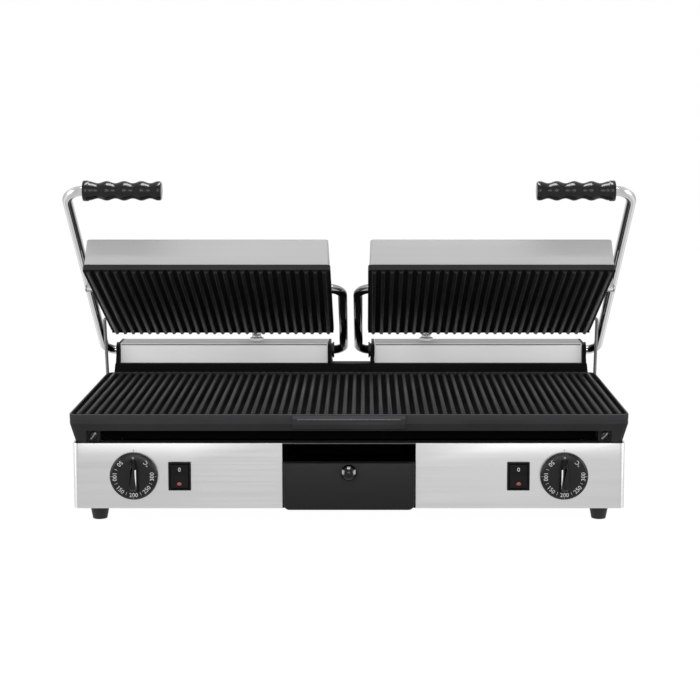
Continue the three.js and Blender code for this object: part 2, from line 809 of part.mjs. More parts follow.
function hinge_rail() {
  const back = rail_front + cheek_depth;
  const beam = front_outline([[-rail_low_half, rail_low], [rail_low_half, rail_low],
    [rail_top_half, rail_top],
    [-rail_top_half, rail_top]], rail_front, rail_front + rail_depth);
  const groove = block(-rail_top_half + rail_wall, rail_top_half - rail_wall, rail_front + rail_wall,
    rail_front + rail_depth - rail_wall, rail_low - overrun, rail_top - rail_wall);
  const sole = block(-rail_top_half, rail_top_half, rail_front + rail_depth - rail_wall, back, rail_low,
    rail_low + cheek_wall);
  let body = join(cut(beam, groove), sole);
  for (const side of [-1, 1]) {
    const inner_wall = [[cheek_inner - cheek_flare, rail_low], [cheek_inner + cheek_wall, rail_low],
      [cheek_inner + cheek_wall, cheek_top], [cheek_inner, cheek_top]];
    const outer_wall = [[cheek_outer - cheek_wall, rail_low], [cheek_outer + cheek_flare, rail_low],
      [cheek_outer, cheek_top], [cheek_outer - cheek_wall, cheek_top]];
    for (const wall of [inner_wall, outer_wall]) {
      const points = side > 0 ? wall : wall.map(([x, z]) => [-x, z]).reverse();
      body = join(body, front_outline(points, rail_front + sheet, back));
    }
  }
  return cut(body, moved(rod(bush_outer + fit_gap, -rail_low_half, rail_low_half, 'x'), 0, hinge_y,
    hinge_z));
}

function hinge_cover(side, conduit_side) {
  const inner = cheek_inner + cheek_wall + cover_side_gap;
  const outer = cheek_outer - cheek_wall - cover_side_gap;
  const front = rail_front + rail_depth / 2 - rail_wall / 2;
  const back = rail_front + cheek_depth - rail_wall;
  const low = rail_top + fit_gap;
  const rear_low = rail_low + cheek_wall + fit_gap;
  const top = cheek_top + cover_rise + fit_gap;
  const profile = (grow) => [[front + grow, low], [back - grow, rear_low],
    [back - grow, top - cover_bend - grow],
    [back - cover_bend - grow, top - grow], [front + cover_bend + grow, top - grow],
      [front + grow, top - cover_bend - grow]];
  const outside = profile(0);
  const inside = profile(sheet);
  const points = [outside[0], inside[0], inside[5], inside[4], inside[3], inside[2], inside[1],
    ...outside.slice(1)];
  const x0 = side > 0 ? inner : -outer;
  const x1 = side > 0 ? outer : -inner;
  const skin = side_outline(points, x0, x1);
  const collar_y = hinge_y + conduit_behind_hinge;
  const collar = rod(conduit_radius + conduit_collar_wall, top - sheet / 2, top + conduit_collar, 'z');
  const bore = rod(conduit_bore_radius, top - sheet - overrun, top + conduit_collar + overrun, 'z');
  const socket = rod(conduit_radius + fit_gap, top, top + conduit_collar + overrun, 'z');
  const x = side * conduit_side;
  return cut(join(skin, moved(collar, x, collar_y, 0)), moved(bore, x, collar_y, 0),
    moved(socket, x, collar_y, 0));
}

function bush(from, to, flange_side) {
  const inner = bar_radius + running_gap;
  const tube = ring(bush_outer, inner, from, to, 'x');
  const flange_at = flange_side > 0 ? to : from - bush_flange_wall;
  return join(tube, ring(bush_outer + bush_flange, inner, flange_at, flange_at + bush_flange_wall,
    'x'));
}

// One lid unit hangs on the hinge line: its bars in one group, and the lid in a second group on them.
const bar_end_outer = cheek_outer - cheek_wall - bar_in_housing;
const bar_end_inner = cheek_inner + cheek_wall + bar_in_housing;
const tips_z = -pivot_above_tips;
const cover_low = tips_z + rib_height + lid_rim;
const cover_half = lid_half - cover_step;
const boss_face = cover_half - cover_taper - sheet - fit_gap;

function outer_arm(side) {
  const grip_end = outer_bar_side - grip_from_bar - grip_length + grip_end_gap;
  const bar = bent_bar([point(side * grip_end, -grip_reach, grip_rise),
    point(side * outer_bar_side, -grip_reach, grip_rise),
    point(side * outer_bar_side, 0, 0), point(side * bar_end_outer, 0, 0)], bar_radius,
      [grip_bend, hinge_bend],
  bend_steps, bar_sides);
  const pivot = new THREE.Vector2(pivot_y, pivot_z);
  const along = new THREE.Vector2(-grip_reach, grip_rise).normalize();
  const near = along.clone().multiplyScalar(pivot.dot(along));
  const down = pivot.clone().sub(near).normalize();
  const half = lug_width / 2;
  const corner = (start, a, b) => [start.x + along.x * a + down.x * b,
    start.y + along.y * a + down.y * b];
  const outline = [corner(near, half * 2, 0), corner(near, -half * 2, 0), corner(pivot, -half, 0),
    corner(pivot, -half / 2, half), corner(pivot, half / 2, half), corner(pivot, half, 0)];
  const outer = outer_bar_side - bar_radius + lug_bite;
  const inner = outer - lug_wall;
  const lug = side_outline(outline, Math.min(side * inner, side * outer),
    Math.max(side * inner, side * outer));
  const hole = moved(rod(pivot_bolt_radius + fit_gap, -outer_bar_side, outer_bar_side, 'x'), 0, pivot_y,
    pivot_z);
  return cut(join(bar, lug), hole);
}

function inner_arm(side) {
  const in_lid = lid_inner + cover_step + sheet + lid_boss_width;
  return bent_bar([point(side * in_lid, pivot_y, pivot_z),
    point(side * inner_bar_side, pivot_y, pivot_z),
    point(side * inner_bar_side, 0, 0), point(side * bar_end_inner, 0, 0)], bar_radius,
      [inner_bend, inner_bend],
  bend_steps, bar_sides);
}

function pivot_bolt(side) {
  const head_low = outer_bar_side - bar_radius + lug_bite + fit_gap;
  const tip = lid_outer - cover_step - sheet - lid_boss_width;
  const points = [[0, tip], [pivot_bolt_radius, tip], [pivot_bolt_radius, head_low],
    [pivot_head_radius, head_low],
    [pivot_head_radius, head_low + pivot_head_height / 2],
      [pivot_head_radius / 2, head_low + pivot_head_height],
    [0, head_low + pivot_head_height]];
  const bolt = turned(points, 'x');
  if (side < 0) bolt.rotateZ(Math.PI);
  return bolt;
}

function grip(side) {
  const start = outer_bar_side - grip_from_bar - grip_length;
  const points = [[0, 0], [grip_radius - fit_gap, 0], [grip_radius, fit_gap],
    [grip_radius, grip_flange / 2]];
  const wave_start = grip_flange / 2;
  const wave_end = grip_length - grip_flange;
  const wave = (wave_end - wave_start) / grip_waves;
  const swell = (grip_radius - grip_waist) / 2;
  for (let at = 0; at < grip_waves; at += 1) {
    for (let step = 1; step <= corner_steps; step += 1) {
      const part = step / corner_steps;
      const radius = grip_waist + swell + swell * Math.cos(part * Math.PI * 2)
        * (part < 1 ? 1 : grip_end_share);
      points.push([radius, wave_start + (at + part) * wave]);
    }
  }
  points.push([grip_radius, wave_end + fit_gap], [grip_radius, grip_length - fit_gap],
    [grip_radius - fit_gap, grip_length],
    [0, grip_length]);
  const body = cut(turned(points, 'x', round_sides),
    rod(bar_radius + fit_gap, grip_end_gap - fit_gap, grip_length + overrun, 'x'));
  const geometry = surface(body);
  if (side > 0) geometry.translate(start, 0, 0);
  else geometry.rotateZ(Math.PI).translate(-start, 0, 0);
  return geometry;
}

function hinge_shaft(side) {
  const near = side * (bar_end_inner + fit_gap);
  const far = side * (bar_end_outer - fit_gap);
  return rod(shaft_radius, Math.min(near, far), Math.max(near, far), 'x');
}

function torsion_spring(side) {
  const middle = side * (bar_end_inner + bar_end_outer) / 2;
  return ring(spring_radius, shaft_radius + running_gap, middle - spring_length / 2,
    middle + spring_length / 2, 'x');
}

function lid_plate(side) {
  const root = tips_z + rib_height;
  const end = lid_depth / 2;
  const rim = slab(lid_half, -end, end, root, cover_low, lid_rim_corner);
  const row = front_outline(rib_row(lid_half - fit_gap, root, tips_z, cover_low), -end, end);
  const outline = slab(lid_half, -end, end, tips_z - overrun, cover_low, lid_rim_corner);
  const bosses = [-1, 1].map((end_side) => {
    const face = end_side * boss_face;
    const inside = end_side * (boss_face - lid_boss_width);
    return block(Math.min(face, inside), Math.max(face, inside), -lid_boss_length / 2,
      lid_boss_length / 2,
      cover_low - sheet, lid_boss_above_pivot);
  });
  const bolt_hole = rod(pivot_bolt_radius + running_gap, 0, lid_width, 'x');
  const bar_hole = rod(bar_radius + running_gap, 0, lid_width, 'x');
  if (side < 0) bolt_hole.rotateZ(Math.PI);
  if (side > 0) bar_hole.rotateZ(Math.PI);
  return cut(join(rim, both(row, outline), ...bosses), bolt_hole, bar_hole);
}

function lid_cover(side, conduit_x) {
  const low = cover_low + fit_gap;
  const top = low + cover_height;
  const end = lid_depth / 2 - cover_step;
  const level = (z, inset, corner) => ({
    half: cover_half - inset, front: -end + inset, back: end - inset, z, corner,
  });
  const skin = stack([level(low, 0, cover_corner), level(top - fit_gap * 2, cover_taper, cover_corner),
    level(top, cover_taper + fit_gap * 2, cover_corner)]);
  const inside = stack([level(low - overrun, sheet - cover_taper * overrun / cover_height,
    cover_corner - sheet),
    level(top - sheet, cover_taper + sheet, cover_corner - sheet)]);
  const collar_z = low + conduit_above_cover_low;
  const inner_end = end - cover_taper - sheet;
  const collar = moved(rod(conduit_radius + conduit_collar_wall, inner_end, end + conduit_collar, 'y'),
    conduit_x, 0, collar_z);
  const bore = moved(rod(conduit_bore_radius, inner_end - overrun, end + conduit_collar + overrun, 'y'),
    conduit_x, 0, collar_z);
  const socket = moved(rod(conduit_radius + fit_gap, end, end + conduit_collar + overrun, 'y'),
    conduit_x, 0, collar_z);
  const side_hole = rod(bar_radius + running_gap * 2, -lid_width, lid_width, 'x');
  const lead_hole = rod(grommet_radius / 2, 0, lid_width, 'x');
  if (side < 0) lead_hole.rotateZ(Math.PI);
  return cut(join(cut(skin, inside), collar), bore, socket, side_hole,
    moved(lead_hole, 0, end - lead_lid_back, low + lead_above_cover_low));
}

// A ribbed metal hose along a path in a plane of equal X, with a crest and a groove ring for each rib.
function ribbed_hose(path) {
  const ribs = Math.floor(path.getLength() / conduit_pitch);
  const ring_at = (share, radius) => {
    const middle = path.getPointAt(share);
    const ahead = path.getTangentAt(share);
    return Array.from({ length: conduit_points }, (_, at) => {
      const turn = (at / conduit_points) * Math.PI * 2;
      return [middle.x + radius * Math.cos(turn), middle.y - radius * Math.sin(turn) * ahead.z,
        middle.z + radius * Math.sin(turn) * ahead.y];
    });
  };
  const outer = [ring_at(0, conduit_radius)];
  for (let at = 0; at < ribs; at += 1) {
    outer.push(ring_at((at + conduit_fall_share) / ribs, conduit_radius));
    outer.push(ring_at((at + conduit_rise_share) / ribs, conduit_radius - conduit_groove));
  }
  outer.push(ring_at(1, conduit_radius));
  const bore = [];
  for (let at = 0; at < ribs; at += conduit_bore_every) bore.push(ring_at(at / ribs,
    conduit_bore_radius));
  bore.push(ring_at(1, conduit_bore_radius));
  const rings = [...outer, ...bore.reverse()];
  const faces = [];
  for (let row = 0; row < rings.length; row += 1) {
    const next = (row + 1) % rings.length;
    for (let at = 0; at < conduit_points; at += 1) {
      const beside = (at + 1) % conduit_points;
      const [a, b] = [row * conduit_points + at, row * conduit_points + beside];
      const [c, d] = [next * conduit_points + beside, next * conduit_points + at];
      faces.push(a, c, b, a, d, c);
    }
  }
  const geometry = new THREE.BufferGeometry();
  geometry.setAttribute('position', new THREE.Float32BufferAttribute(rings.flat(2), 3));
  geometry.setIndex(faces);
  return geometry;
}

function conduit_path(start, ahead, finish) {
  const straight = conduit_radius * 2;
  const up = point(0, 0, 1);
  const first = start.clone().addScaledVector(ahead, straight);
  const last = finish.clone().addScaledVector(up, straight);
  const path = new THREE.CurvePath();
  path.add(new THREE.LineCurve3(start, first));
  path.add(new THREE.CubicBezierCurve3(first, first.clone().addScaledVector(ahead, conduit_rise),
    last.clone().addScaledVector(up, conduit_rise), last));
  path.add(new THREE.LineCurve3(last, finish));
  return path;
}

function side_lead(side, start) {
  const low_y = hinge_y - lead_before_hinge;
  const corners = [start, point(side * lead_lid_side, start.y, start.z),
    point(side * lead_side, low_y, rail_low + rail_depth), point(side * lead_side, low_y, lead_low),
    point(side * (shell_half + grommet_length / 2), low_y, lead_low)];
  return bent_bar(corners, lead_radius, [lead_turn, lead_turn * 4, lead_turn], heater_steps,
    heater_sides);
}

function grommet(side) {
  const seat = shell_half + fit_gap;
  const outer = ring(grommet_radius, lead_radius + fit_gap, seat, seat + grommet_length, 'x');
  const geometry = surface(outer);
  if (side < 0) geometry.rotateZ(Math.PI);
  return geometry;
}

// Base
place(grill, 'base_shell', base_shell(), steel());
place(grill, 'base_floor', base_floor(), zinc());
place(grill, 'rear_panel', rear_panel(), steel());
for (const [end_name, y] of [['front', foot_end_inset], ['rear', body_depth - foot_end_inset]]) {
  for (const [side_name, side] of [['left', -1], ['right', 1]]) {
    place(grill, `${end_name}_${side_name}_foot`,
      foot(), rubber()).position.set(side * (shell_half - foot_side_inset), y, foot_height);
  }
}
place(grill, 'lower_plate', lower_plate(), iron());
place(grill, 'heat_shield', heat_shield(), black_steel());
place(grill, 'drawer_guide', drawer_guide(), black_steel());
place(grill, 'drawer_tray', drawer_tray(), black_steel());
place(grill, 'terminal_block', terminal_block(), black_plastic());
place(grill, 'cable_gland', cable_gland(), black_plastic()).position.set(gland_side, 0,
  body_low + body_height / 2);
place(grill, 'hinge_rail', hinge_rail(), black_steel());
const knob_z = body_low - sheet / 10 + drawer_front_height - drawer_knob_drop;
place(grill, 'drawer_knob', drawer_knob(), black_plastic()).position.z = knob_z;
place(grill, 'drawer_knob_screw', drawer_knob_screw(), zinc()).position.z = knob_z;

for (const [name, side, conduit_side] of [['left', -1, left_conduit_side],
  ['right', 1, right_conduit_side]]) {
  const put = (piece, shape, material) => place(grill, `${name}_${piece}`, shape, material);
  const screw_x = plate_half - plate_skirt_inset - undercut_corner - leg_step_width / 2;
  const screw = put('plate_screw', plate_screw(), zinc());
  screw.position.set(side * screw_x, 0, plate_low + undercut_height / 2);
  screw.rotation.y = side * Math.PI / 4;
  const heater_half = (plate_half - plate_wall - heater_edge / 2) / 2 - heater_edge / 2;
  const heater_z = rib_top - rib_height - plate_slab - heater_radius - fit_gap;
  const lower_heater = put('lower_heater',
    heater(heater_half, heater_edge, plate_depth - heater_edge, heater_z), zinc());
  lower_heater.position.x = side * (heater_half + heater_edge / 2);
  put('thermostat', thermostat(), zinc()).position.set(side * dial_side, 0, body_low + dial_height);
  put('dial_knob', dial_knob(), black_plastic()).position.set(side * dial_side, 0,
    body_low + dial_height);
  put('switch_housing', switch_housing(), black_plastic()).position.set(side * switch_side, 0,
    body_low + switch_height);
  const rocker_mesh = put('rocker', rocker(), black_plastic());
  rocker_mesh.position.set(side * switch_side, 0, body_low + switch_height);
  rocker_mesh.rotation.x = -THREE.MathUtils.degToRad(rocker_tilt_deg);
  put('hinge_cover', hinge_cover(side, conduit_side), steel());
  put('torsion_spring', torsion_spring(side), zinc()).position.set(0, hinge_y, hinge_z);
  const outer_wall = [side * (cheek_outer - cheek_wall - fit_gap),
    side * (cheek_outer + cheek_flare / 2)].sort((a, b) => a - b);
  const inner_wall = [side * (cheek_inner - cheek_flare / 2),
    side * (cheek_inner + cheek_wall + fit_gap)].sort((a, b) => a - b);
  put('outer_bush', bush(...outer_wall, side), brass()).position.set(0, hinge_y, hinge_z);
  put('inner_bush', bush(...inner_wall, -side), brass()).position.set(0, hinge_y, hinge_z);

  const frame = new THREE.Group();
  frame.position.set(0, hinge_y, hinge_z);
  frame.rotation.x = -THREE.MathUtils.degToRad(arm_open_deg);
  grill.add(frame);
  place(frame, `${name}_outer_arm`, outer_arm(side), chrome());
  place(frame, `${name}_inner_arm`, inner_arm(side), chrome());
  place(frame, `${name}_hinge_shaft`, hinge_shaft(side), zinc());
  place(frame, `${name}_grip`, grip(side), black_plastic()).position.set(0, -grip_reach, grip_rise);
  place(frame, `${name}_pivot_bolt`, pivot_bolt(side), zinc()).position.set(0, pivot_y, pivot_z);

  const lid = new THREE.Group();
  lid.position.set(side * lid_side, pivot_y, pivot_z);
  lid.rotation.x = THREE.MathUtils.degToRad(lid_float_deg);
  frame.add(lid);
  const conduit_x = side * (conduit_side - lid_side);
  place(lid, `${name}_lid_plate`, lid_plate(side), iron());
  place(lid, `${name}_lid_cover`, lid_cover(side, conduit_x), steel());
  const lid_heater_half = cover_half - lid_boss_width - heater_edge / 4;
  place(lid, `${name}_lid_heater`,
    heater(lid_heater_half, -lid_depth / 2 + heater_edge / 2, lid_depth / 2 - heater_edge / 2,
    cover_low + heater_radius + fit_gap), zinc());

  grill.updateMatrixWorld(true);
  const from_lid = (x, y, z) => grill.worldToLocal(lid.localToWorld(point(x, y, z)));
  const cover_end = lid_depth / 2 - cover_step;
  const collar_z = cover_low + fit_gap + conduit_above_cover_low;
  const start = from_lid(conduit_x, cover_end + fit_gap, collar_z);
  const ahead = from_lid(conduit_x, cover_end + conduit_collar, collar_z).sub(start).normalize();
  const cover_top = cheek_top + cover_rise + fit_gap;
  const finish = point(side * conduit_side, hinge_y + conduit_behind_hinge, cover_top + fit_gap);
  put('conduit', ribbed_hose(conduit_path(start, ahead, finish)), steel());
  const lead_start = from_lid(side * (cover_half + fit_gap), cover_end - lead_lid_back,
    cover_low + fit_gap + lead_above_cover_low);
  put('side_lead', side_lead(side, lead_start), steel());
  put('lead_grommet', grommet(side), rubber()).position.set(0, hinge_y - lead_before_hinge, lead_low);
}

export default grill;
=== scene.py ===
import bpy
import json
import math
from mathutils import Matrix, Vector


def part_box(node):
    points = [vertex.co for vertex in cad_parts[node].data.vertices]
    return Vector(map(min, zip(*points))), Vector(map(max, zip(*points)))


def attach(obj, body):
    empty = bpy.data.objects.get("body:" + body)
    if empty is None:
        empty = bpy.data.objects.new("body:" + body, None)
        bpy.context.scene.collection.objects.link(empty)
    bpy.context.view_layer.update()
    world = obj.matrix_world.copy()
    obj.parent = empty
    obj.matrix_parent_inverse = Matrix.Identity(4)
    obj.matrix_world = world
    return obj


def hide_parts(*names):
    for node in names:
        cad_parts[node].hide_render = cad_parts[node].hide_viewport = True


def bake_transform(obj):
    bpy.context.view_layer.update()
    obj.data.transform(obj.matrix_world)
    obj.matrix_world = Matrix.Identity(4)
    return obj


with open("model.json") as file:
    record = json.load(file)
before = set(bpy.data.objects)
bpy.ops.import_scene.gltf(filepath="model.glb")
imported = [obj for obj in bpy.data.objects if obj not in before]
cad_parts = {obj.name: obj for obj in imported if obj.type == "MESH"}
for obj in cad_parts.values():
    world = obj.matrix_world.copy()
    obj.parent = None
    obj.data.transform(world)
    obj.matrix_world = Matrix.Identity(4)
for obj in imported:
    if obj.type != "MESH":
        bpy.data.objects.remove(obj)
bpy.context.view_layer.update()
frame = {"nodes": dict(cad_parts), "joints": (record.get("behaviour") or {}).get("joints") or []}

scene = bpy.context.scene

# Camera: a long lens a little above the plates and a little right of the middle, looking down
# by six degrees. The small shift puts the grill where the photograph has it.
panel_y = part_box("base_shell")[0].y
camera_right = 0.0167
camera_away = 1.6616
camera_up = 0.4454
camera_pitch = math.radians(84)
bpy.ops.object.camera_add(location=(camera_right, panel_y - camera_away, camera_up),
                          rotation=(camera_pitch, 0, 0))
camera = bpy.context.object
camera.name = "camera"
camera.data.lens = 83.66
camera.data.shift_x = -0.0215
camera.data.shift_y = -0.1183
camera.data.clip_end = 20
scene.camera = camera
scene.view_settings.view_transform = "Standard"


# Studio: a white paper floor in white air, one wide softbox above, one at each side, a low one behind
# the camera that the steel fronts mirror, and a narrow strip above the front that lights the edges.
def nodes_of(material):
    material.use_nodes = True
    tree = material.node_tree
    tree.nodes.clear()
    return tree, tree.nodes.new("ShaderNodeOutputMaterial")


def wire(tree, start, out_name, end, in_name):
    tree.links.new(start.outputs[out_name], end.inputs[in_name])


def direct_rays(tree):
    """1 for what is seen by the camera, mirrored in metal or through glass, 0 for light that falls."""
    path = tree.nodes.new("ShaderNodeLightPath")
    mirrored = tree.nodes.new("ShaderNodeMath")
    mirrored.operation = "MAXIMUM"
    wire(tree, path, "Is Camera Ray", mirrored, 0)
    wire(tree, path, "Is Glossy Ray", mirrored, 1)
    direct = tree.nodes.new("ShaderNodeMath")
    direct.operation = "MAXIMUM"
    wire(tree, mirrored, "Value", direct, 0)
    wire(tree, path, "Is Transmission Ray", direct, 1)
    return direct


paper_shade = 0.82
paper_glow = 1.04
glow_share = 0.95


def backdrop_finish():
    material = bpy.data.materials.new("white_studio_paper")
    tree, output = nodes_of(material)
    paper = tree.nodes.new("ShaderNodeBsdfDiffuse")
    paper.inputs["Color"].default_value = (paper_shade, paper_shade, paper_shade, 1)
    glow = tree.nodes.new("ShaderNodeEmission")
    glow.inputs["Strength"].default_value = paper_glow
    seen = tree.nodes.new("ShaderNodeMath")
    seen.operation = "MULTIPLY"
    seen.inputs[1].default_value = glow_share
    wire(tree, direct_rays(tree), "Value", seen, 0)
    mix = tree.nodes.new("ShaderNodeMixShader")
    wire(tree, seen, "Value", mix, "Fac")
    wire(tree, paper, "BSDF", mix, 1)
    wire(tree, glow, "Emission", mix, 2)
    wire(tree, mix, "Shader", output, "Surface")
    return material


floor_size = 9
bpy.ops.mesh.primitive_plane_add(size=floor_size, location=(0, 0, 0))
floor = bpy.context.object
floor.name = "studio_floor"
floor.data.materials.append(backdrop_finish())

fill_light = 0.4
seen_white = 1.0
world = bpy.data.worlds.new("studio_air")
scene.world = world
world.use_nodes = True
air = world.node_tree
air.nodes.clear()
sky_out = air.nodes.new("ShaderNodeOutputWorld")
choose = air.nodes.new("ShaderNodeMixShader")
wire(air, direct_rays(air), "Value", choose, "Fac")
for slot, strength in ((1, fill_light), (2, seen_white)):
    sky = air.nodes.new("ShaderNodeBackground")
    sky.inputs["Color"].default_value = (1, 1, 1, 1)
    sky.inputs["Strength"].default_value = strength
    wire(air, sky, "Background", choose, slot)
wire(air, choose, "Shader", sky_out, "Surface")


def softbox(name, place, aim, wide, tall, watts):
    bpy.ops.object.light_add(type="AREA", location=place)
    lamp = bpy.context.object
    lamp.name = name
    lamp.data.shape = "RECTANGLE"
    lamp.data.size = wide
    lamp.data.size_y = tall
    lamp.data.energy = watts
    lamp.rotation_euler = (Vector(aim) - Vector(place)).to_track_quat("-Z", "Y").to_euler()
    return lamp


grill_middle = (0, 0, 0.2)
grips_middle = (0, -0.1, 0.4)
softbox("top_softbox", (0, -0.1, 2.1), grill_middle, wide=3.0, tall=2.2, watts=3)
softbox("left_softbox", (-1.7, -0.6, 0.55), grill_middle, wide=0.7, tall=1.05, watts=8)
softbox("right_softbox", (1.7, -0.6, 0.55), grill_middle, wide=0.7, tall=1.05, watts=8)
softbox("front_softbox", (0, -2.3, 0.7), grill_middle, wide=1.6, tall=0.9, watts=19)
softbox("front_strip", (0, -0.5, 2.0), grips_middle, wide=1.7, tall=0.06, watts=9)


# Base box: one sheet of brushed stainless steel, 1.2 mm thick, folded round all four sides with soft
# upright corners, and turned in at the top, where the plate stands on it. It is cut out for the
# grease drawer in the middle of the front, for the two switches and for the rear panel.
def lay_down():
    if bpy.context.object and bpy.context.object.mode != "OBJECT":
        bpy.ops.object.mode_set(mode="OBJECT")
    bpy.ops.object.select_all(action="DESELECT")


def take(piece):
    lay_down()
    piece.select_set(True)
    bpy.context.view_layer.objects.active = piece


def settle(piece):
    """Lay a piece's place, turn and size into its points."""
    take(piece)
    bpy.ops.object.transform_apply(location=True, rotation=True, scale=True)


def unpick(piece, kind):
    take(piece)
    bpy.ops.object.mode_set(mode="EDIT")
    bpy.ops.mesh.select_mode(type=kind)
    bpy.ops.mesh.select_all(action="DESELECT")
    bpy.ops.object.mode_set(mode="OBJECT")


def pick_faces(piece, wanted):
    unpick(piece, "FACE")
    for face in piece.data.polygons:
        face.select = wanted(face.center, face.normal)
    bpy.ops.object.mode_set(mode="EDIT")


def pick_edges(piece, wanted):
    unpick(piece, "EDGE")
    points = piece.data.vertices
    for edge in piece.data.edges:
        edge.select = wanted(points[edge.vertices[0]].co, points[edge.vertices[1]].co)
    bpy.ops.object.mode_set(mode="EDIT")


def cut_away(piece, wanted):
    pick_faces(piece, wanted)
    bpy.ops.mesh.delete(type="FACE")
    bpy.ops.object.mode_set(mode="OBJECT")


def score(piece, wanted, *cuts):
    """Cut lines across the wanted faces; each cut is (a point on it, the way it faces)."""
    for spot, way in cuts:
        pick_faces(piece, wanted)
        bpy.ops.mesh.bisect(plane_co=spot, plane_no=way)


def round_edges(piece, width, steps, wanted):
    pick_edges(piece, wanted)
    bpy.ops.mesh.bevel(offset=width, segments=steps, affect="EDGES")
    bpy.ops.object.mode_set(mode="OBJECT")


def cut_block(name, low, high):
    lay_down()
    middle = [(a + b) / 2 for a, b in zip(low, high)]
    bpy.ops.mesh.primitive_cube_add(size=1, location=middle)
    piece = bpy.context.object
    piece.name = name
    piece.scale = [b - a for a, b in zip(low, high)]
    settle(piece)
    return piece


def ease(piece, width, steps=3, angle=30):
    take(piece)
    edge = piece.modifiers.new("eased_edge", "BEVEL")
    edge.width = width
    edge.segments = steps
    edge.limit_method = "ANGLE"
    edge.angle_limit = math.radians(angle)
    bpy.ops.object.modifier_apply(modifier=edge.name)


def give_wall(piece, wall):
    take(piece)
    sheet = piece.modifiers.new("sheet", "SOLIDIFY")
    sheet.thickness = wall
    sheet.offset = -1
    sheet.use_even_offset = True
    bpy.ops.object.modifier_apply(modifier=sheet.name)


def fit(piece, body, finish, slot, *nodes, angle=35):
    take(piece)
    bpy.ops.object.shade_smooth_by_angle(angle=math.radians(angle))
    piece.data.materials.clear()
    piece.data.materials.append(finish)
    if body:
        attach(piece, body)
    if nodes:
        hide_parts(*nodes)
    return piece


def shader(name, colour, metallic, rough, gloss=0.5):
    material = bpy.data.materials.new(name)
    tree, output = nodes_of(material)
    surface = tree.nodes.new("ShaderNodeBsdfPrincipled")
    surface.inputs["Base Color"].default_value = (*colour, 1)
    surface.inputs["Metallic"].default_value = metallic
    surface.inputs["Roughness"].default_value = rough
    surface.inputs["Specular IOR Level"].default_value = gloss
    wire(tree, surface, "BSDF", output, "Surface")
    return material, tree, surface


def grain(tree, scale, stretch=(1, 1, 1), detail=3.0):
    place = tree.nodes.new("ShaderNodeTexCoord")
    turn = tree.nodes.new("ShaderNodeMapping")
    turn.inputs["Scale"].default_value = stretch
    noise = tree.nodes.new("ShaderNodeTexNoise")
    noise.inputs["Scale"].default_value = scale
    noise.inputs["Detail"].default_value = detail
    wire(tree, place, "Object", turn, "Vector")
    wire(tree, turn, "Vector", noise, "Vector")
    return noise


noise_low = 0.3
noise_high = 0.7


def spread(tree, noise, low, high):
    """The noise as a plain number between low and high."""
    span = tree.nodes.new("ShaderNodeMapRange")
    span.inputs["From Min"].default_value = noise_low
    span.inputs["From Max"].default_value = noise_high
    span.inputs["To Min"].default_value = low
    span.inputs["To Max"].default_value = high
    wire(tree, noise, "Fac", span, "Value")
    return span


def tint(tree, noise, low, high, start=noise_low, stop=noise_high):
    """The noise as a colour between low and high."""
    ramp = tree.nodes.new("ShaderNodeValToRGB")
    ramp.color_ramp.elements[0].position = start
    ramp.color_ramp.elements[0].color = (*low, 1)
    ramp.color_ramp.elements[1].position = stop
    ramp.color_ramp.elements[1].color = (*high, 1)
    wire(tree, noise, "Fac", ramp, "Fac")
    return ramp


def vary_rough(tree, surface, noise, low, high):
    wire(tree, spread(tree, noise, low, high), "Result", surface, "Roughness")


def vary_colour(tree, surface, noise, low, high, *stops):
    wire(tree, tint(tree, noise, low, high, *stops), "Color", surface, "Base Color")


def relief(tree, surface, noise, depth, strength):
    bump = tree.nodes.new("ShaderNodeBump")
    bump.inputs["Distance"].default_value = depth
    bump.inputs["Strength"].default_value = strength
    wire(tree, noise, "Fac", bump, "Height")
    wire(tree, bump, "Normal", surface, "Normal")


def brushed_steel(name, shade, rough=0.34, metal=1.0, gloss=0.5):
    """Steel with fine brushed lines from left to right and a slight cloudiness."""
    material, tree, surface = shader(name, (shade,) * 3, metal, rough, gloss)
    lines = grain(tree, 1.0, stretch=(4, 500, 500), detail=4.0)
    vary_rough(tree, surface, lines, rough - 0.05, rough + 0.07)
    clouds = grain(tree, 7.0, detail=2.0)
    vary_colour(tree, surface, clouds, (shade * 0.96,) * 3, (shade * 1.02, shade * 1.02, shade * 1.025))
    relief(tree, surface, lines, depth=0.00002, strength=0.35)
    return material


shell_low, shell_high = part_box("base_shell")
shell_corner = 0.006
shell_fold = 0.0012
shell_rim_round = 0.0005
flange_wide = 0.012
mouth_half = 0.0695
mouth_top = shell_high.z - shell_fold
window_half = shell_high.x - flange_wide
window_front = shell_low.y + flange_wide
window_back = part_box("lower_plate")[1].y - flange_wide
straight_on = 0.9  # a face looks along an axis when its normal's part there is over this
close = 1e-5
x_way, y_way, z_way = (1, 0, 0), (0, 1, 0), (0, 0, 1)
shell = cut_block("steel_shell", shell_low, shell_high)
cut_away(shell, lambda at, out: out.z < -straight_on)
score(shell, lambda at, out: out.z > straight_on, ((-window_half, 0, 0), x_way), ((window_half, 0, 0), x_way),
      ((0, window_front, 0), y_way), ((0, window_back, 0), y_way))
cut_away(shell, lambda at, out: out.z > straight_on and abs(at.x) < window_half
           and window_front < at.y < window_back)
score(shell, lambda at, out: out.y < -straight_on, ((-mouth_half, 0, 0), x_way), ((mouth_half, 0, 0), x_way))
score(shell, lambda at, out: out.y < -straight_on and abs(at.x) < mouth_half, ((0, 0, mouth_top), z_way))
cut_away(shell, lambda at, out: out.y < -straight_on and abs(at.x) < mouth_half and at.z < mouth_top)


def on_corner(a, b):
    upright = abs(a.z - b.z) > 0.03 and abs(a.x - b.x) < close and abs(a.y - b.y) < close
    return (upright and abs(a.x) > shell_high.x - close
            and (a.y < shell_low.y + close or a.y > shell_high.y - close))


round_edges(shell, shell_corner, 8, on_corner)

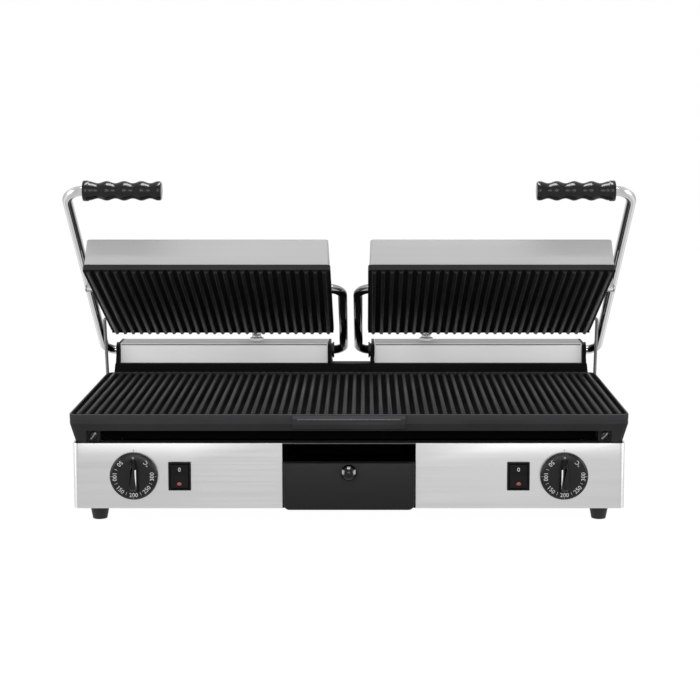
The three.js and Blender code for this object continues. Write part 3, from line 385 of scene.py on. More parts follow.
panel_gap = 0.0003
bezel_cover = 0.0012
for insert, grow, facing in (("rear_panel", panel_gap, 1), ("left_switch_housing", -bezel_cover, -1),
                             ("right_switch_housing", -bezel_cover, -1)):
    low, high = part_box(insert)
    score(shell, lambda at, out: out.y * facing > straight_on and (facing > 0 or at.x * low.x > 0),
          ((low.x - grow, 0, 0), x_way), ((high.x + grow, 0, 0), x_way),
          ((0, 0, low.z - grow), z_way), ((0, 0, high.z + grow), z_way))
    cut_away(shell, lambda at, out: out.y * facing > straight_on and low.x - grow < at.x < high.x + grow
               and low.z - grow < at.z < high.z + grow)
give_wall(shell, shell_fold)


def on_outer_rim(a, b):
    """The upper edges of the walls, without the flange's inner ones."""
    if min(a.z, b.z) < shell_high.z - close:
        return False
    middle = (a + b) / 2
    return (abs(middle.x) > shell_high.x - shell_corner / 2 or middle.y < shell_low.y + shell_corner / 2
            or middle.y > shell_high.y - shell_corner / 2)


pick_edges(shell, on_outer_rim)
bpy.ops.mesh.bevel(offset=shell_rim_round, segments=3, affect="EDGES", clamp_overlap=True)
bpy.ops.object.mode_set(mode="OBJECT")
panel_steel = brushed_steel("brushed_steel_panel", 0.5)
fit(shell, "base", panel_steel, "stainless", "base_shell")
# Painted shade and painted highlight: the strip over the drawer's mouth and the rim's bevel take a near-black
# copy of the steel where the plate shades them, and the soft front corners take a lighter copy as their
# glare.
shell.data.materials.append(brushed_steel("painted_shade_edge_steel", 0.05))
shell.data.materials.append(brushed_steel("painted_glare_corner_steel", 0.72))
painted_shade_index, painted_glare_index = 1, 2
for face in shell.data.polygons:
    over_mouth = abs(face.center.x) < mouth_half and face.center.z > mouth_top - 0.0001
    on_rim = face.center.z > shell_high.z - shell_rim_round - 0.0001 and 0.1 < face.normal.z < 0.98
    if face.center.y < shell_low.y + 0.002 and (over_mouth or on_rim):
        face.material_index = painted_shade_index
    elif face.center.y < shell_low.y + shell_corner and 0.3 < abs(face.normal.x) < 0.85:
        face.material_index = painted_glare_index


# Feet: four tapered black rubber feet, screwed up into the floor of the box near its corners. Each is
# moulded with a soft lower edge and a thin collar where it meets the steel.
foot_rubber, rubber_tree, rubber_surface = shader("moulded_rubber", (0.014, 0.014, 0.015), 0.0, 0.5, 0.3)
pores = grain(rubber_tree, 900.0)
vary_rough(rubber_tree, rubber_surface, pores, 0.48, 0.66)
relief(rubber_tree, rubber_surface, pores, depth=0.00005, strength=0.5)
foot_low_radius = 0.0076
foot_high_radius = 0.0110
foot_collar = 1.04
for foot_node in ("front_left_foot", "front_right_foot", "rear_left_foot", "rear_right_foot"):
    low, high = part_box(foot_node)
    middle = (low + high) / 2
    lay_down()
    bpy.ops.mesh.primitive_cone_add(vertices=40, radius1=foot_low_radius, radius2=foot_high_radius,
                                    depth=high.z - low.z, location=middle)
    foot = bpy.context.object
    foot.name = "rubber_" + foot_node
    settle(foot)
    pick_faces(foot, lambda at, out: out.z > straight_on)
    bpy.ops.mesh.extrude_region_move(TRANSFORM_OT_translate={"value": (0, 0, 0)})
    bpy.ops.transform.resize(value=(foot_collar, foot_collar, 1),
                             center_override=(middle.x, middle.y, high.z))
    bpy.ops.object.mode_set(mode="OBJECT")
    ease(foot, 0.0011, 3)
    fit(foot, "base", foot_rubber, "rubber", foot_node)


# Lower plate: one full-width casting of black enamelled iron, ribbed from front to back, with a skirt
# that stands on the box at its corners, an undercut between them and a pouring lip in the middle of
# the front edge. Ribs and edges are eased, as the enamel rounds them.
def grey_ramp(tree, stops, blue=1.0):
    """A ramp in greys, tinted by blue. stops are (place from 0 to 1, shade), in order."""
    ramp = tree.nodes.new("ShaderNodeValToRGB")
    for element, (place, shade) in zip(ramp.color_ramp.elements, (stops[0], stops[-1])):
        element.position = place
        element.color = (shade, shade, shade * blue, 1)
    for place, shade in stops[1:-1]:
        ramp.color_ramp.elements.new(place).color = (shade, shade, shade * blue, 1)
    return ramp


def normal_parts(tree):
    """The X, Y and Z of the way a surface faces."""
    facing = tree.nodes.new("ShaderNodeTexCoord")
    parts = tree.nodes.new("ShaderNodeSeparateXYZ")
    wire(tree, facing, "Normal", parts, "Vector")
    return parts


def facing_ramp(tree, axis, low, high, stops, blue=1.0):
    """A ramp in greys over one axis of the way a surface faces, while that goes from low to high."""
    span = tree.nodes.new("ShaderNodeMapRange")
    span.inputs["From Min"].default_value = low
    span.inputs["From Max"].default_value = high
    ramp = grey_ramp(tree, stops, blue)
    wire(tree, normal_parts(tree), axis, span, "Value")
    wire(tree, span, "Result", ramp, "Fac")
    return ramp


def mixed(tree, share, under, over, way="MIX"):
    """A mix of two colours. The share and each colour is a value or another node's output."""
    mix = tree.nodes.new("ShaderNodeMix")
    mix.data_type = "RGBA"
    mix.blend_type = way
    for socket, given in ((0, share), (6, under), (7, over)):
        if isinstance(given, bpy.types.NodeSocket):
            tree.links.new(given, mix.inputs[socket])
        else:
            mix.inputs[socket].default_value = given
    return mix.outputs[2]


enamel_blue = 1.04


def cast_iron_finish(name, base, rib_floor, rib_tip, skin, wear_and_highlight, groove, tip_highlight, rough=0.32, gloss=0.03):
    """Black enamel on iron, coloured by height with painted shade and painted highlight: darkest in the
    grooves and darker low down, lighter than the grooves on the ribs' tips, and lighter on a narrow band
    at the top edge. base is the matrix of the plate as cast; the two heights are measured in it."""
    material, tree, surface = shader(name, (skin,) * 3, 0.0, rough, gloss)
    back = base.inverted()
    place = tree.nodes.new("ShaderNodeTexCoord")
    turn = tree.nodes.new("ShaderNodeMapping")
    turn.inputs["Rotation"].default_value = back.to_euler()
    turn.inputs["Location"].default_value = back.to_translation()
    parts = tree.nodes.new("ShaderNodeSeparateXYZ")
    wire(tree, place, "Object", turn, "Vector")
    wire(tree, turn, "Vector", parts, "Vector")
    height = tree.nodes.new("ShaderNodeMapRange")
    height.inputs["From Min"].default_value = rib_floor - (rib_tip - rib_floor) * 2
    height.inputs["From Max"].default_value = rib_tip
    wire(tree, parts, "Z", height, "Value")
    # Painted shade low down and in the grooves; painted highlight on the band at the top edge and on the
    # tips.
    painted_shade_low = skin * 0.72
    enamel = grey_ramp(tree, ((0, painted_shade_low), (0.12, painted_shade_low), (0.15, skin), (0.575, skin),
                              (0.61, wear_and_highlight), (0.65, wear_and_highlight), (0.665, groove), (0.80, groove),
                              (0.975, tip_highlight), (1, tip_highlight)), enamel_blue)
    wire(tree, height, "Result", enamel, "Fac")
    cast = grain(tree, 420.0, detail=4.0)
    clouds = grain(tree, 14.0, detail=3.0)
    matt = 0.9
    sheen = grey_ramp(tree, ((0, rough), (0.65, rough), (0.665, matt), (0.82, matt), (0.96, rough),
                             (1, rough)))
    wire(tree, height, "Result", sheen, "Fac")
    uneven = tree.nodes.new("ShaderNodeMath")
    uneven.operation = "ADD"
    wire(tree, sheen, "Color", uneven, 0)
    wire(tree, spread(tree, cast, -0.06, 0.09), "Result", uneven, 1)
    wire(tree, uneven, "Value", surface, "Roughness")
    patches = tint(tree, clouds, (0.78,) * 3, (1.08,) * 3)
    patchy = mixed(tree, 1.0, enamel.outputs["Color"], patches.outputs["Color"], "MULTIPLY")
    tree.links.new(patchy, surface.inputs["Base Color"])
    relief(tree, surface, cast, depth=0.00012, strength=0.45)
    return material


def copy_of(node, name, weld=2e-5):
    take(frame["nodes"][node])
    bpy.ops.object.duplicate(linked=False)
    piece = bpy.context.object
    piece.name = name
    take(piece)
    bpy.ops.object.mode_set(mode="EDIT")
    bpy.ops.mesh.select_all(action="SELECT")
    bpy.ops.mesh.remove_doubles(threshold=weld)
    bpy.ops.mesh.dissolve_limited(angle_limit=math.radians(0.5))
    bpy.ops.object.mode_set(mode="OBJECT")
    return piece


plate_low, plate_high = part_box("lower_plate")
rib_tip = plate_high.z
rib_rise = 0.004
# The lower plate's enamel is coloured by height with painted shade and painted highlight.
plate_iron = cast_iron_finish("enamelled_cast_iron", Matrix(), rib_tip - rib_rise, rib_tip,
                              skin=0.036, wear_and_highlight=0.085, groove=0.011, tip_highlight=0.052)
plate = copy_of("lower_plate", "ribbed_lower_plate")
ease(plate, 0.0008, 3, 25)
fit(plate, "base", plate_iron, "cast_plate", "lower_plate", angle=50)


# Rim and pouring lip: cast in one with the lower plate. The rim is a low wall round the ribs, a little
# under their tips, lighter on top as a painted highlight; the lip slopes out over the middle of the
# drawer and ends in a small bead in a lighter enamel, also a painted highlight.
def edge_enamel(name, skin, wear_and_highlight, rough=0.32, gloss=0.03):
    """Enamel that is lighter where a surface looks up, as a painted highlight."""
    material, tree, surface = shader(name, (skin,) * 3, 0.0, rough, gloss)
    upward = facing_ramp(tree, "Z", 0, 1, ((0.25, skin), (0.7, wear_and_highlight)), enamel_blue)
    wire(tree, upward, "Color", surface, "Base Color")
    cast = grain(tree, 420.0, detail=4.0)
    vary_rough(tree, surface, cast, rough - 0.06, rough + 0.09)
    relief(tree, surface, cast, depth=0.00012, strength=0.45)
    return material


lip_reach = 0.0042
plate_front = plate_low.y + lip_reach
rim_top = rib_tip - 0.0004
rim_foot = rib_tip - rib_rise - 0.0021
rim_wide = 0.0022
rim_corner = 0.010
rim_round = 0.0009
rim = cut_block("plate_rim", (plate_low.x, plate_front, rim_foot), (plate_high.x, plate_high.y, rim_top))
cut_away(rim, lambda at, out: abs(out.z) > straight_on)
round_edges(rim, rim_corner, 8, lambda a, b: abs(a.z - b.z) > 0.003)
give_wall(rim, rim_wide)


def on_rim_top(a, b):
    """The rim's upper edges that lie at its walls."""
    middle = (a + b) / 2
    inside = rim_corner - 0.001
    return min(a.z, b.z) > rim_top - close and not (
        abs(middle.x) < plate_high.x - inside and plate_front + inside < middle.y < plate_high.y - inside)


round_edges(rim, rim_round, 3, on_rim_top)
fit(rim, "base", edge_enamel("painted_highlight_rim_enamel", 0.036, 0.08), "cast_plate")

lip_half = 0.0585
lip_deep = 0.0075
lip_drop = 0.0006
lip_slope = 0.0032
lip = cut_block("pouring_lip", (-lip_half, plate_low.y - 0.0001, rib_tip - lip_deep),
                (lip_half, plate_front + 0.001, rim_top - lip_drop))
pick_edges(lip, lambda a, b: min(a.z, b.z) > rib_tip - 0.003 and max(a.y, b.y) < plate_low.y)
bpy.ops.transform.translate(value=(0, 0, -lip_slope))
bpy.ops.object.mode_set(mode="OBJECT")
ease(lip, 0.0005, 2)
fit(lip, "base", edge_enamel("painted_highlight_lip_enamel", 0.036, 0.06), "cast_plate")
bead_half = 0.0535
bead_low = 0.1124
bead_high = 0.1136
bead = cut_block("pouring_lip_bead", (-bead_half, plate_low.y - 0.0003, bead_low),
                 (bead_half, plate_low.y + 0.0006, bead_high))
ease(bead, 0.0004, 2)
# Painted highlight: the bead is a lighter enamel than the plate, for the light line along the lip.
bead_highlight_enamel, bead_tree, bead_surface = shader("painted_highlight_bead_enamel", (0.09,) * 3, 0.0, 0.3, 0.3)
vary_colour(bead_tree, bead_surface, grain(bead_tree, 300.0), (0.06,) * 3, (0.12,) * 3)
fit(bead, "base", bead_highlight_enamel, "cast_plate")


# Flange shade: a thin flat strip of black rubber along the front of the box's top flange, put there as
# painted shade where the plate shades the flange. The foot line of the plate's legs sits on it.
shade_strip_thick = 0.0002
shade_strip_inset = 0.002
shade_strip_back = 0.0007
flange_shade = cut_block("flange_shade_strip", (shade_strip_inset - shell_high.x, shell_low.y + shade_strip_back, shell_high.z),
                 (shell_high.x - shade_strip_inset, window_front, shell_high.z + shade_strip_thick))
ease(flange_shade, 0.00008, 1)
fit(flange_shade, "base", foot_rubber, "rubber")


# Grease drawer: a black steel tray behind a folded front with rounded upright edges and rounded lower
# corners. A small glossy ball knob is screwed to the front near its top.
def black_paint(name, shade, rough, gloss):
    material, tree, surface = shader(name, (shade, shade, shade * 1.05), 0.0, rough, gloss)
    orange_peel = grain(tree, 260.0, detail=2.0)
    vary_rough(tree, surface, orange_peel, rough - 0.05, rough + 0.07)
    relief(tree, surface, orange_peel, depth=0.00006, strength=0.3)
    return material


low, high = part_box("drawer_tray")
front_back = panel_y - 0.0003
front_low_round = 0.0062
front_rim_round = 0.0034
drawer_front = cut_block("drawer_front", low, (high.x, front_back, high.z))
round_edges(drawer_front, front_low_round, 8,
            lambda a, b: abs(a.y - b.y) > 0.001 and max(a.z, b.z) < low.z + 1e-4)
round_edges(drawer_front, front_rim_round, 5,
            lambda a, b: max(a.y, b.y) < low.y + 1e-4 and min(a.z, b.z) < high.z - 1e-4)
ease(drawer_front, 0.0006, 2, 40)
tray_half = 0.0645
tray_deep = 0.036
tray_low = low.z + 0.003
tray_top = tray_low + tray_deep
tray_round = 0.003
tray_sheet = 0.0012
tray_lap = 0.004
tray = cut_block("drawer_tray_pan", (-tray_half, front_back - tray_lap, tray_low),
                 (tray_half, high.y, tray_top))
cut_away(tray, lambda at, out: out.z > straight_on)
round_edges(tray, tray_round, 4, lambda a, b: max(a.z, b.z) < tray_low + 1e-4 or abs(a.z - b.z) > 0.01)
give_wall(tray, tray_sheet)
# Painted shade: the tray is a darker black than the drawer's front, for the shade inside the mouth.
fit(tray, "drawer", black_paint("painted_shade_tray_paint", 0.002, 0.6, 0.03), "black_steel")
drawer_paint = black_paint("black_drawer_paint", 0.008, 0.45, 0.15)
fit(drawer_front, "drawer", drawer_paint, "black_steel", "drawer_tray")


def turn_along(name, profile, middle, axis, sides=40):
    """A turned piece: a disc drawn out along an axis step by step. profile is (distance, radius)."""
    lay_down()
    turned = {"X": (0, math.pi / 2, 0), "-X": (0, -math.pi / 2, 0), "Y": (-math.pi / 2, 0, 0),
              "-Y": (math.pi / 2, 0, 0), "Z": (0, 0, 0)}[axis]
    start, radius = profile[0]
    bpy.ops.mesh.primitive_circle_add(vertices=sides, radius=radius, fill_type="NGON", location=(0, 0, start))
    piece = bpy.context.object
    piece.name = name
    settle(piece)
    bpy.ops.object.mode_set(mode="EDIT")
    bpy.ops.mesh.select_all(action="SELECT")
    for (at, wide), (before, was) in zip(profile[1:], profile):
        bpy.ops.mesh.extrude_region_move(TRANSFORM_OT_translate={"value": (0, 0, at - before)})
        bpy.ops.transform.resize(value=(wide / was, wide / was, 1), center_override=(0, 0, at))
    bpy.ops.mesh.select_all(action="SELECT")
    bpy.ops.mesh.normals_make_consistent(inside=False)
    bpy.ops.object.mode_set(mode="OBJECT")
    piece.rotation_euler = turned
    piece.location = middle
    settle(piece)
    return piece


def gloss_plastic(name, shade, rough, gloss):
    material, tree, surface = shader(name, (shade, shade, shade * 1.04), 0.0, rough, gloss)
    flow = grain(tree, 60.0, detail=2.0)
    vary_rough(tree, surface, flow, rough - 0.03, rough + 0.06)
    return material


def facing_band(tree, axis, stops):
    """A band over one axis of the way a surface faces; stops are (place from -1 to 1, shade)."""
    places = [((place + 1) / 2, shade) for place, shade in sorted(stops)]
    return facing_ramp(tree, axis, -1, 1, places).outputs["Color"]


def plastic_with_painted_glints(name, glints, bright, rough, gloss):
    """Black plastic with painted highlights where it faces certain ways, each given as bands on X and on Z.
    """
    black = 0.002
    material = gloss_plastic(name, black, rough, gloss)
    tree = material.node_tree
    black_colour = (black, black, black, 1)
    colour = black_colour
    for across, up in glints:
        upward = mixed(tree, facing_band(tree, "Z", up), black_colour, (bright, bright, bright, 1))
        colour = mixed(tree, facing_band(tree, "X", across), colour, upward)
    tree.links.new(colour, tree.nodes["Principled BSDF"].inputs["Base Color"])
    return material


# Painted highlights on the ball: two crescents on its cheeks and a spot on its crown.
cheeks = ((-0.90, 0), (-0.80, 1), (-0.68, 1), (-0.52, 0), (0.52, 0), (0.68, 1), (0.80, 1), (0.90, 0))
cheek_rise = ((-0.15, 0), (0.05, 1), (0.38, 1), (0.52, 0))
crown = ((-0.24, 0), (-0.12, 1), (0.12, 1), (0.24, 0))
crown_rise = ((0.58, 0), (0.68, 1), (0.80, 1), (0.90, 0))
ball_painted_glints = plastic_with_painted_glints("glossy_ball_painted_glints", ((cheeks, cheek_rise), (crown, crown_rise)),
                                bright=0.42, rough=0.08, gloss=0.22)
low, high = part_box("drawer_knob")
ball_growth = 1.2
ball_radius = (high.x - low.x) / 2 * ball_growth
knob_long = high.y - low.y
neck_radius = 0.0036
foot_radius = 0.0052
rings = 14
ball = []
for step in range(rings + 1):
    turn = math.pi * (0.02 + 0.81 * step / rings)
    ball.append((ball_radius * (1 - math.cos(turn)), ball_radius * math.sin(turn)))
ball += [(ball_radius * 2 + 0.0005, neck_radius), (knob_long - 0.001, neck_radius),
         (knob_long - 0.0008, foot_radius), (knob_long, foot_radius)]
knob = turn_along("drawer_ball_knob", ball, ((low.x + high.x) / 2, low.y, (low.z + high.z) / 2), "Y")
fit(knob, "drawer", ball_painted_glints, "black_plastic", "drawer_knob", angle=45)


# Thermostat dials: black moulded discs with a raised tapered lever, pushed on the spindles. A printed
# ring of pale figures runs clockwise, with short lines between them and a tick at the rim for each
# whole hundred. A fine line on the steel above each dial is what they are read against.
def printed_ink(name, colour, rough=0.5):
    material, tree, surface = shader(name, colour, 0.0, rough)
    wear_and_highlight = grain(tree, 700.0)
    dim = tuple(value * 0.72 for value in colour)
    vary_colour(tree, surface, wear_and_highlight, dim, colour, 0.25, 0.5)
    return material


ink_thick = 0.00012


def lettering(name, words, size, place, turn):
    """Figures on an upright face, turned clockwise about the face by turn."""
    lay_down()
    bpy.ops.object.text_add(location=(0, 0, 0))
    ink = bpy.context.object
    ink.name = name
    ink.data.body = words
    ink.data.size = size
    ink.data.align_x = "CENTER"
    ink.data.align_y = "CENTER"
    ink.data.extrude = ink_thick / 2
    ink.data.resolution_u = 3
    take(ink)
    bpy.ops.object.convert(target="MESH")
    ink = bpy.context.object
    ink.matrix_world = (Matrix.Translation(place) @ Matrix.Rotation(turn, 4, "Y")
                        @ Matrix.Rotation(math.pi / 2, 4, "X"))
    settle(ink)
    return ink


def joined(name, pieces):
    lay_down()
    for piece in pieces:
        piece.select_set(True)
    bpy.context.view_layer.objects.active = pieces[0]
    bpy.ops.object.join()
    whole = bpy.context.object
    whole.name = name
    return whole


dial_plastic = gloss_plastic("moulded_dial_plastic", 0.008, 0.28, 0.2)
dial_ink = printed_ink("pale_dial_ink", (0.6, 0.6, 0.6))
# Painted highlight: bright steel for a thin strip on each dial's lever.
glare_strip_steel = brushed_steel("painted_glare_strip", 0.85, rough=0.2)
index_ink = printed_ink("dark_index_ink", (0.16, 0.16, 0.16))
dial_figures = (("0", 0), ("°C", 45), ("300", 90), ("250", 135), ("200", 180), ("150", 225), ("100", 270),
                ("50", 315))
between_figures = 22.5
zero_size = 0.0042
figure_size = 0.0062
line_size = 0.0038
tick_size = 0.0030
figure_ring = 0.0196
rim_ring = 0.0229
rim_fall = 0.0005
ink_proud = 0.00004
disc_rise = 0.0049
skirt = [(0.0, 0.0243), (0.0005, 0.0249), (0.0024, 0.0249), (0.0030, 0.0244), (0.0036, 0.0232),
         (0.0043, 0.0228), (0.0047, 0.0218), (disc_rise, 0.016)]
lever_half = 0.0064
lever_down = 0.0168
lever_up = 0.0190
glare_strip_half = 0.0008
glare_strip_thick = 0.0002
glare_strip_down = 0.0105
glare_strip_up = 0.0095
glare_strip_off = 0.0036
glare_strip_deep = 0.0017
glare_strip_turn = math.radians(38)
index_half = 0.0004
for side, hand in (("left", -1), ("right", 1)):
    low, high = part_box(side + "_dial_knob")
    middle = (low + high) / 2
    disc = turn_along("disc", skirt, (middle.x, high.y, middle.z), "-Y", 72)
    face_y = high.y - disc_rise
    lever = cut_block("lever", (middle.x - lever_half, low.y + 0.0004, middle.z - lever_down),
                      (middle.x + lever_half, face_y + 0.0008, middle.z + lever_up))
    pick_faces(lever, lambda at, out: out.y < -straight_on)
    bpy.ops.transform.resize(value=(0.66, 1, 0.64), center_override=(middle.x, middle.y, middle.z - 0.002))
    pick_faces(lever, lambda at, out: out.z > 0.5)
    bpy.ops.transform.resize(value=(0.5, 1, 1), center_override=tuple(middle))
    round_edges(lever, 0.0026, 5, lambda a, b: abs(a.y - b.y) > 0.005)
    ease(lever, 0.0012, 2, 32)
    dial = joined(side + "_dial", [disc, lever])
    fit(dial, side + "_dial", dial_plastic, "black_plastic", side + "_dial_knob", angle=38)
    # Painted highlight: a thin strip of bright steel on the lever's flank that faces the middle, for the
    # light that flank catches.
    strip = cut_block(side + "_lever_glare_strip", (-glare_strip_half, -glare_strip_thick, -glare_strip_down),
                      (glare_strip_half, glare_strip_thick, glare_strip_up))
    ease(strip, 0.0001, 1)
    strip.matrix_world = (Matrix.Translation((middle.x - hand * glare_strip_off, low.y + glare_strip_deep, middle.z))
                          @ Matrix.Rotation(-hand * glare_strip_turn, 4, "Z"))
    settle(strip)
    fit(strip, side + "_dial", glare_strip_steel, "black_plastic")
    face_middle = Vector((middle.x, face_y - ink_proud, middle.z))
    rim_middle = Vector((middle.x, face_y + rim_fall, middle.z))
    marks = []
    for words, degrees in dial_figures:
        turn = math.radians(degrees)
        spot = Vector((math.sin(turn), 0, math.cos(turn)))
        marks.append(lettering("figure", words, zero_size if words == "0" else figure_size,
                               face_middle + spot * figure_ring, turn + math.pi))
        if degrees in (90, 180, 270):
            marks.append(lettering("tick", "|", tick_size, rim_middle + spot * rim_ring, turn))
        if 90 <= degrees < 315:
            half = turn + math.radians(between_figures)
            spot = Vector((math.sin(half), 0, math.cos(half)))
            marks.append(lettering("line", "|", line_size, face_middle + spot * figure_ring, half))
    ring = joined(side + "_dial_figures", marks)
    fit(ring, side + "_dial", dial_ink, "black_plastic")
    pointer = cut_block(side + "_index_line", (middle.x - index_half, panel_y - 0.00012, high.z + 0.0006),
                        (middle.x + index_half, panel_y + 0.0001, high.z + 0.0026))
    ease(pointer, 0.00005, 1)
    fit(pointer, "base", index_ink, "black_steel")


# Rocker switches: each snaps into the panel by a thin black bezel. The rocker is pressed in at the top,
# marked 0 there, and its lower half stands out with a small red window that lights up.
switch_plastic = gloss_plastic("satin_switch_plastic", 0.011, 0.5, 0.02)
rocker_plastic = gloss_plastic("gloss_rocker_plastic", 0.011, 0.45, 0.03)
switch_ink = printed_ink("white_switch_ink", (0.62, 0.62, 0.62))
lamp_red, lamp_tree, lamp_surface = shader("red_lamp_window", (0.30, 0.06, 0.05), 0.0, 0.25)
lamp_surface.inputs["Emission Color"].default_value = (0.6, 0.05, 0.03, 1)
lamp_surface.inputs["Emission Strength"].default_value = 0.06
vary_colour(lamp_tree, lamp_surface, grain(lamp_tree, 500.0), (0.22, 0.05, 0.045), (0.32, 0.07, 0.06))
pressed_turn = math.radians(15)
bezel_proud = 0.0016
key_proud = 0.0006
zero_up = 0.0066
switch_zero = 0.0060
window_drop = -0.0082
for side in ("left", "right"):
    bezel = copy_of(side + "_switch_housing", side + "_switch_bezel")
    ease(bezel, 0.0005, 2, 40)
    fit(bezel, "base", switch_plastic, "black_plastic", side + "_switch_housing")
    rocker = copy_of(side + "_rocker", side + "_rocker_key")
    ease(rocker, 0.00055, 3, 8)
    fit(rocker, side + "_switch_rocker", rocker_plastic, "black_plastic", side + "_rocker", angle=30)
    low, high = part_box(side + "_rocker")
    middle = (low + high) / 2
    upper_y = panel_y - bezel_proud - key_proud
    zero = lettering(side + "_off_mark", "0", switch_zero,
                     (middle.x, upper_y - 0.0001, middle.z + zero_up), 0)
    fit(zero, side + "_switch_rocker", switch_ink, "black_plastic")
    slope_y = upper_y + window_drop * math.tan(pressed_turn)
    window = turn_along("window", [(0.0, 0.0024), (0.0003, 0.0024), (0.0006, 0.0020), (0.0007, 0.0008)],
                        (0, 0, 0), "-Y", 24)
    window.name = side + "_red_window"
    window.scale = (0.85, 1, 1.15)
    window.matrix_world = (Matrix.Translation((middle.x, slope_y + 0.0002, middle.z + window_drop))
                           @ Matrix.Rotation(pressed_turn, 4, "X") @ window.matrix_world)
    settle(window)
    fit(window, side + "_switch_rocker", lamp_red, "black_plastic")


# Hinge rail: a black painted steel beam right across behind the plate, with a sole behind it and four
# flared cheeks that carry the bars of the lids in flanged bushes.
rail_paint = black_paint("black_rail_paint", 0.003, 0.45, 0.03)
rail = copy_of("hinge_rail", "painted_hinge_rail")
ease(rail, 0.0006, 2, 20)
fit(rail, "base", rail_paint, "black_steel", "hinge_rail")

# Hinge covers: a folded cap of brushed steel over each hinge, between two cheeks. It has tight folds,
# a long wall at the back, a short one at the front with a dark strip under its fold as painted shadow,
# and a low round collar that the conduit leaves by. Its top is darkened as painted shade, and its steel
# is a lighter, more diffuse copy of the panel's, as painted light in the lids' shade.
def round_collar(place, axis):
    """A low ring round a conduit, open through the middle; place is where it stands, axis is Y or Z."""
    ring = turn_along("collar", [(-0.001, 0.0066), (-0.001, 0.0084), (0.0022, 0.0084), (0.003, 0.0076),
                                 (0.003, 0.0066)], place, axis)
    way = Vector((0, 0, 1)) if axis == "Z" else Vector((0, 1, 0))
    cut_away(ring, lambda at, out: (at - Vector(place)).cross(way).length < 1e-4)
    return ring


# Painted light and painted shadow: the covers' steel is lighter and more diffuse than the panel's, for the
# lids' shade it lies in, and a dark strip of steel marks the shadow under each front fold.
lit_cover_steel = brushed_steel("painted_light_cover_steel", 0.92, rough=0.5, metal=0.1, gloss=0.1)
fold_shadow = brushed_steel("painted_fold_shadow_steel", 0.2, rough=0.5, metal=0.3, gloss=0.1)
cover_lines = lit_cover_steel.node_tree
cover_colour = cover_lines.nodes["Principled BSDF"].inputs["Base Color"]
# Painted shade: the steel darkens on the faces that look up.
painted_top_shade = (0.40, 0.40, 0.395, 1)
top_shaded = mixed(cover_lines, normal_parts(cover_lines).outputs["Z"], cover_colour.links[0].from_socket,
                painted_top_shade)
cover_lines.links.new(top_shaded, cover_colour)
rail_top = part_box("hinge_rail")[1].z - 0.0240
cap_fold = 0.0016
cap_sheet = 0.0012
collar_rise = 0.003
collar_back = 0.13455
fold_shadow_inset = 0.0012
fold_shadow_top = 0.0011
fold_shadow_low = 0.0026
conduits = (("left", -0.115), ("right", 0.091))
for side, conduit_x in conduits:
    low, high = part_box(side + "_hinge_cover")
    cap_top = high.z - collar_rise
    cap = cut_block(side + "_cap", low, (high.x, high.y, cap_top))
    cut_away(cap, lambda at, out: out.z < -straight_on or abs(out.x) > straight_on)
    pick_edges(cap, lambda a, b: max(a.z, b.z) < low.z + 1e-4 and max(a.y, b.y) < low.y + 1e-4)
    bpy.ops.transform.translate(value=(0, 0, rail_top - low.z))
    round_edges(cap, cap_fold, 5, lambda a, b: min(a.z, b.z) > cap_top - close and abs(a.y - b.y) < close)
    give_wall(cap, cap_sheet)
    ease(cap, 0.0002, 1, 50)
    collar = round_collar((conduit_x, collar_back, cap_top), "Z")
    fold_shadow_strip = cut_block(side + "_cap_fold_shadow", (low.x + fold_shadow_inset, low.y - 0.00006, cap_top - fold_shadow_low),
                    (high.x - fold_shadow_inset, low.y + 0.0003, cap_top - fold_shadow_top))
    ease(fold_shadow_strip, 0.00005, 1)
    fit(fold_shadow_strip, "base", fold_shadow, "stainless")
    fit(joined(side + "_hinge_cap", [cap, collar]), "base", lit_cover_steel, "stainless", side + "_hinge_cover")


# Finger grips: black moulded plastic with four shallow hollows and a collar at the outer end. They are
# pressed on the turned-in ends of the lid frames' outer bars, and swing with them.
def grip_painted_highlight_plastic(name, outward):
    """Moulded plastic with a painted highlight high on one flank of each hollow, the flank that faces
    outward.
    """
    flank = ((outward * 0.01, 0), (outward * 0.10, 1))
    shoulder = ((0.60, 0), (0.67, 1), (0.76, 1), (0.83, 0))
    return plastic_with_painted_glints(name, ((flank, shoulder),), bright=0.55, rough=0.2, gloss=0.27)


grip_start = 0.1964
grip_reach = -0.3217
grip_rise = 0.0425
crest_radius = 0.0104
waist_radius = 0.0081
waves = 4
wave_start = 0.0030
wave_stop = 0.0759
end_fall = 0.0006
wave_steps = 9
grip_profile = [(0.0, 0.0070), (0.0002, 0.0088), (0.0011, 0.0100), (wave_start, 0.0102)]
for wave in range(waves):
    for step in range(1, wave_steps + 1):
        part = step / wave_steps
        radius = ((crest_radius + waist_radius) / 2
                  + (crest_radius - waist_radius) / 2 * math.cos(2 * math.pi * part))
        if wave == waves - 1 and part > 0.5:
            radius -= end_fall * (part - 0.5)
        grip_profile.append((wave_start + (wave + part) * (wave_stop - wave_start) / waves, radius))
grip_profile += [(0.0763, 0.0104), (0.0768, 0.0109), (0.0816, 0.0109), (0.0822, 0.0104), (0.0824, 0.0094),
                 (0.0824, 0.0060)]


def finger_grip(side, hand):
    grip = turn_along(side + "_finger_grip", grip_profile, (hand * grip_start, grip_reach, grip_rise),
                      "X" if hand > 0 else "-X", 48)
    swing(grip, arm_place)
    grip_highlight_plastic = grip_painted_highlight_plastic(side + "_grip_highlight_plastic", -hand)
    fit(grip, side + "_frame", grip_highlight_plastic, "black_plastic", side + "_grip", angle=60)


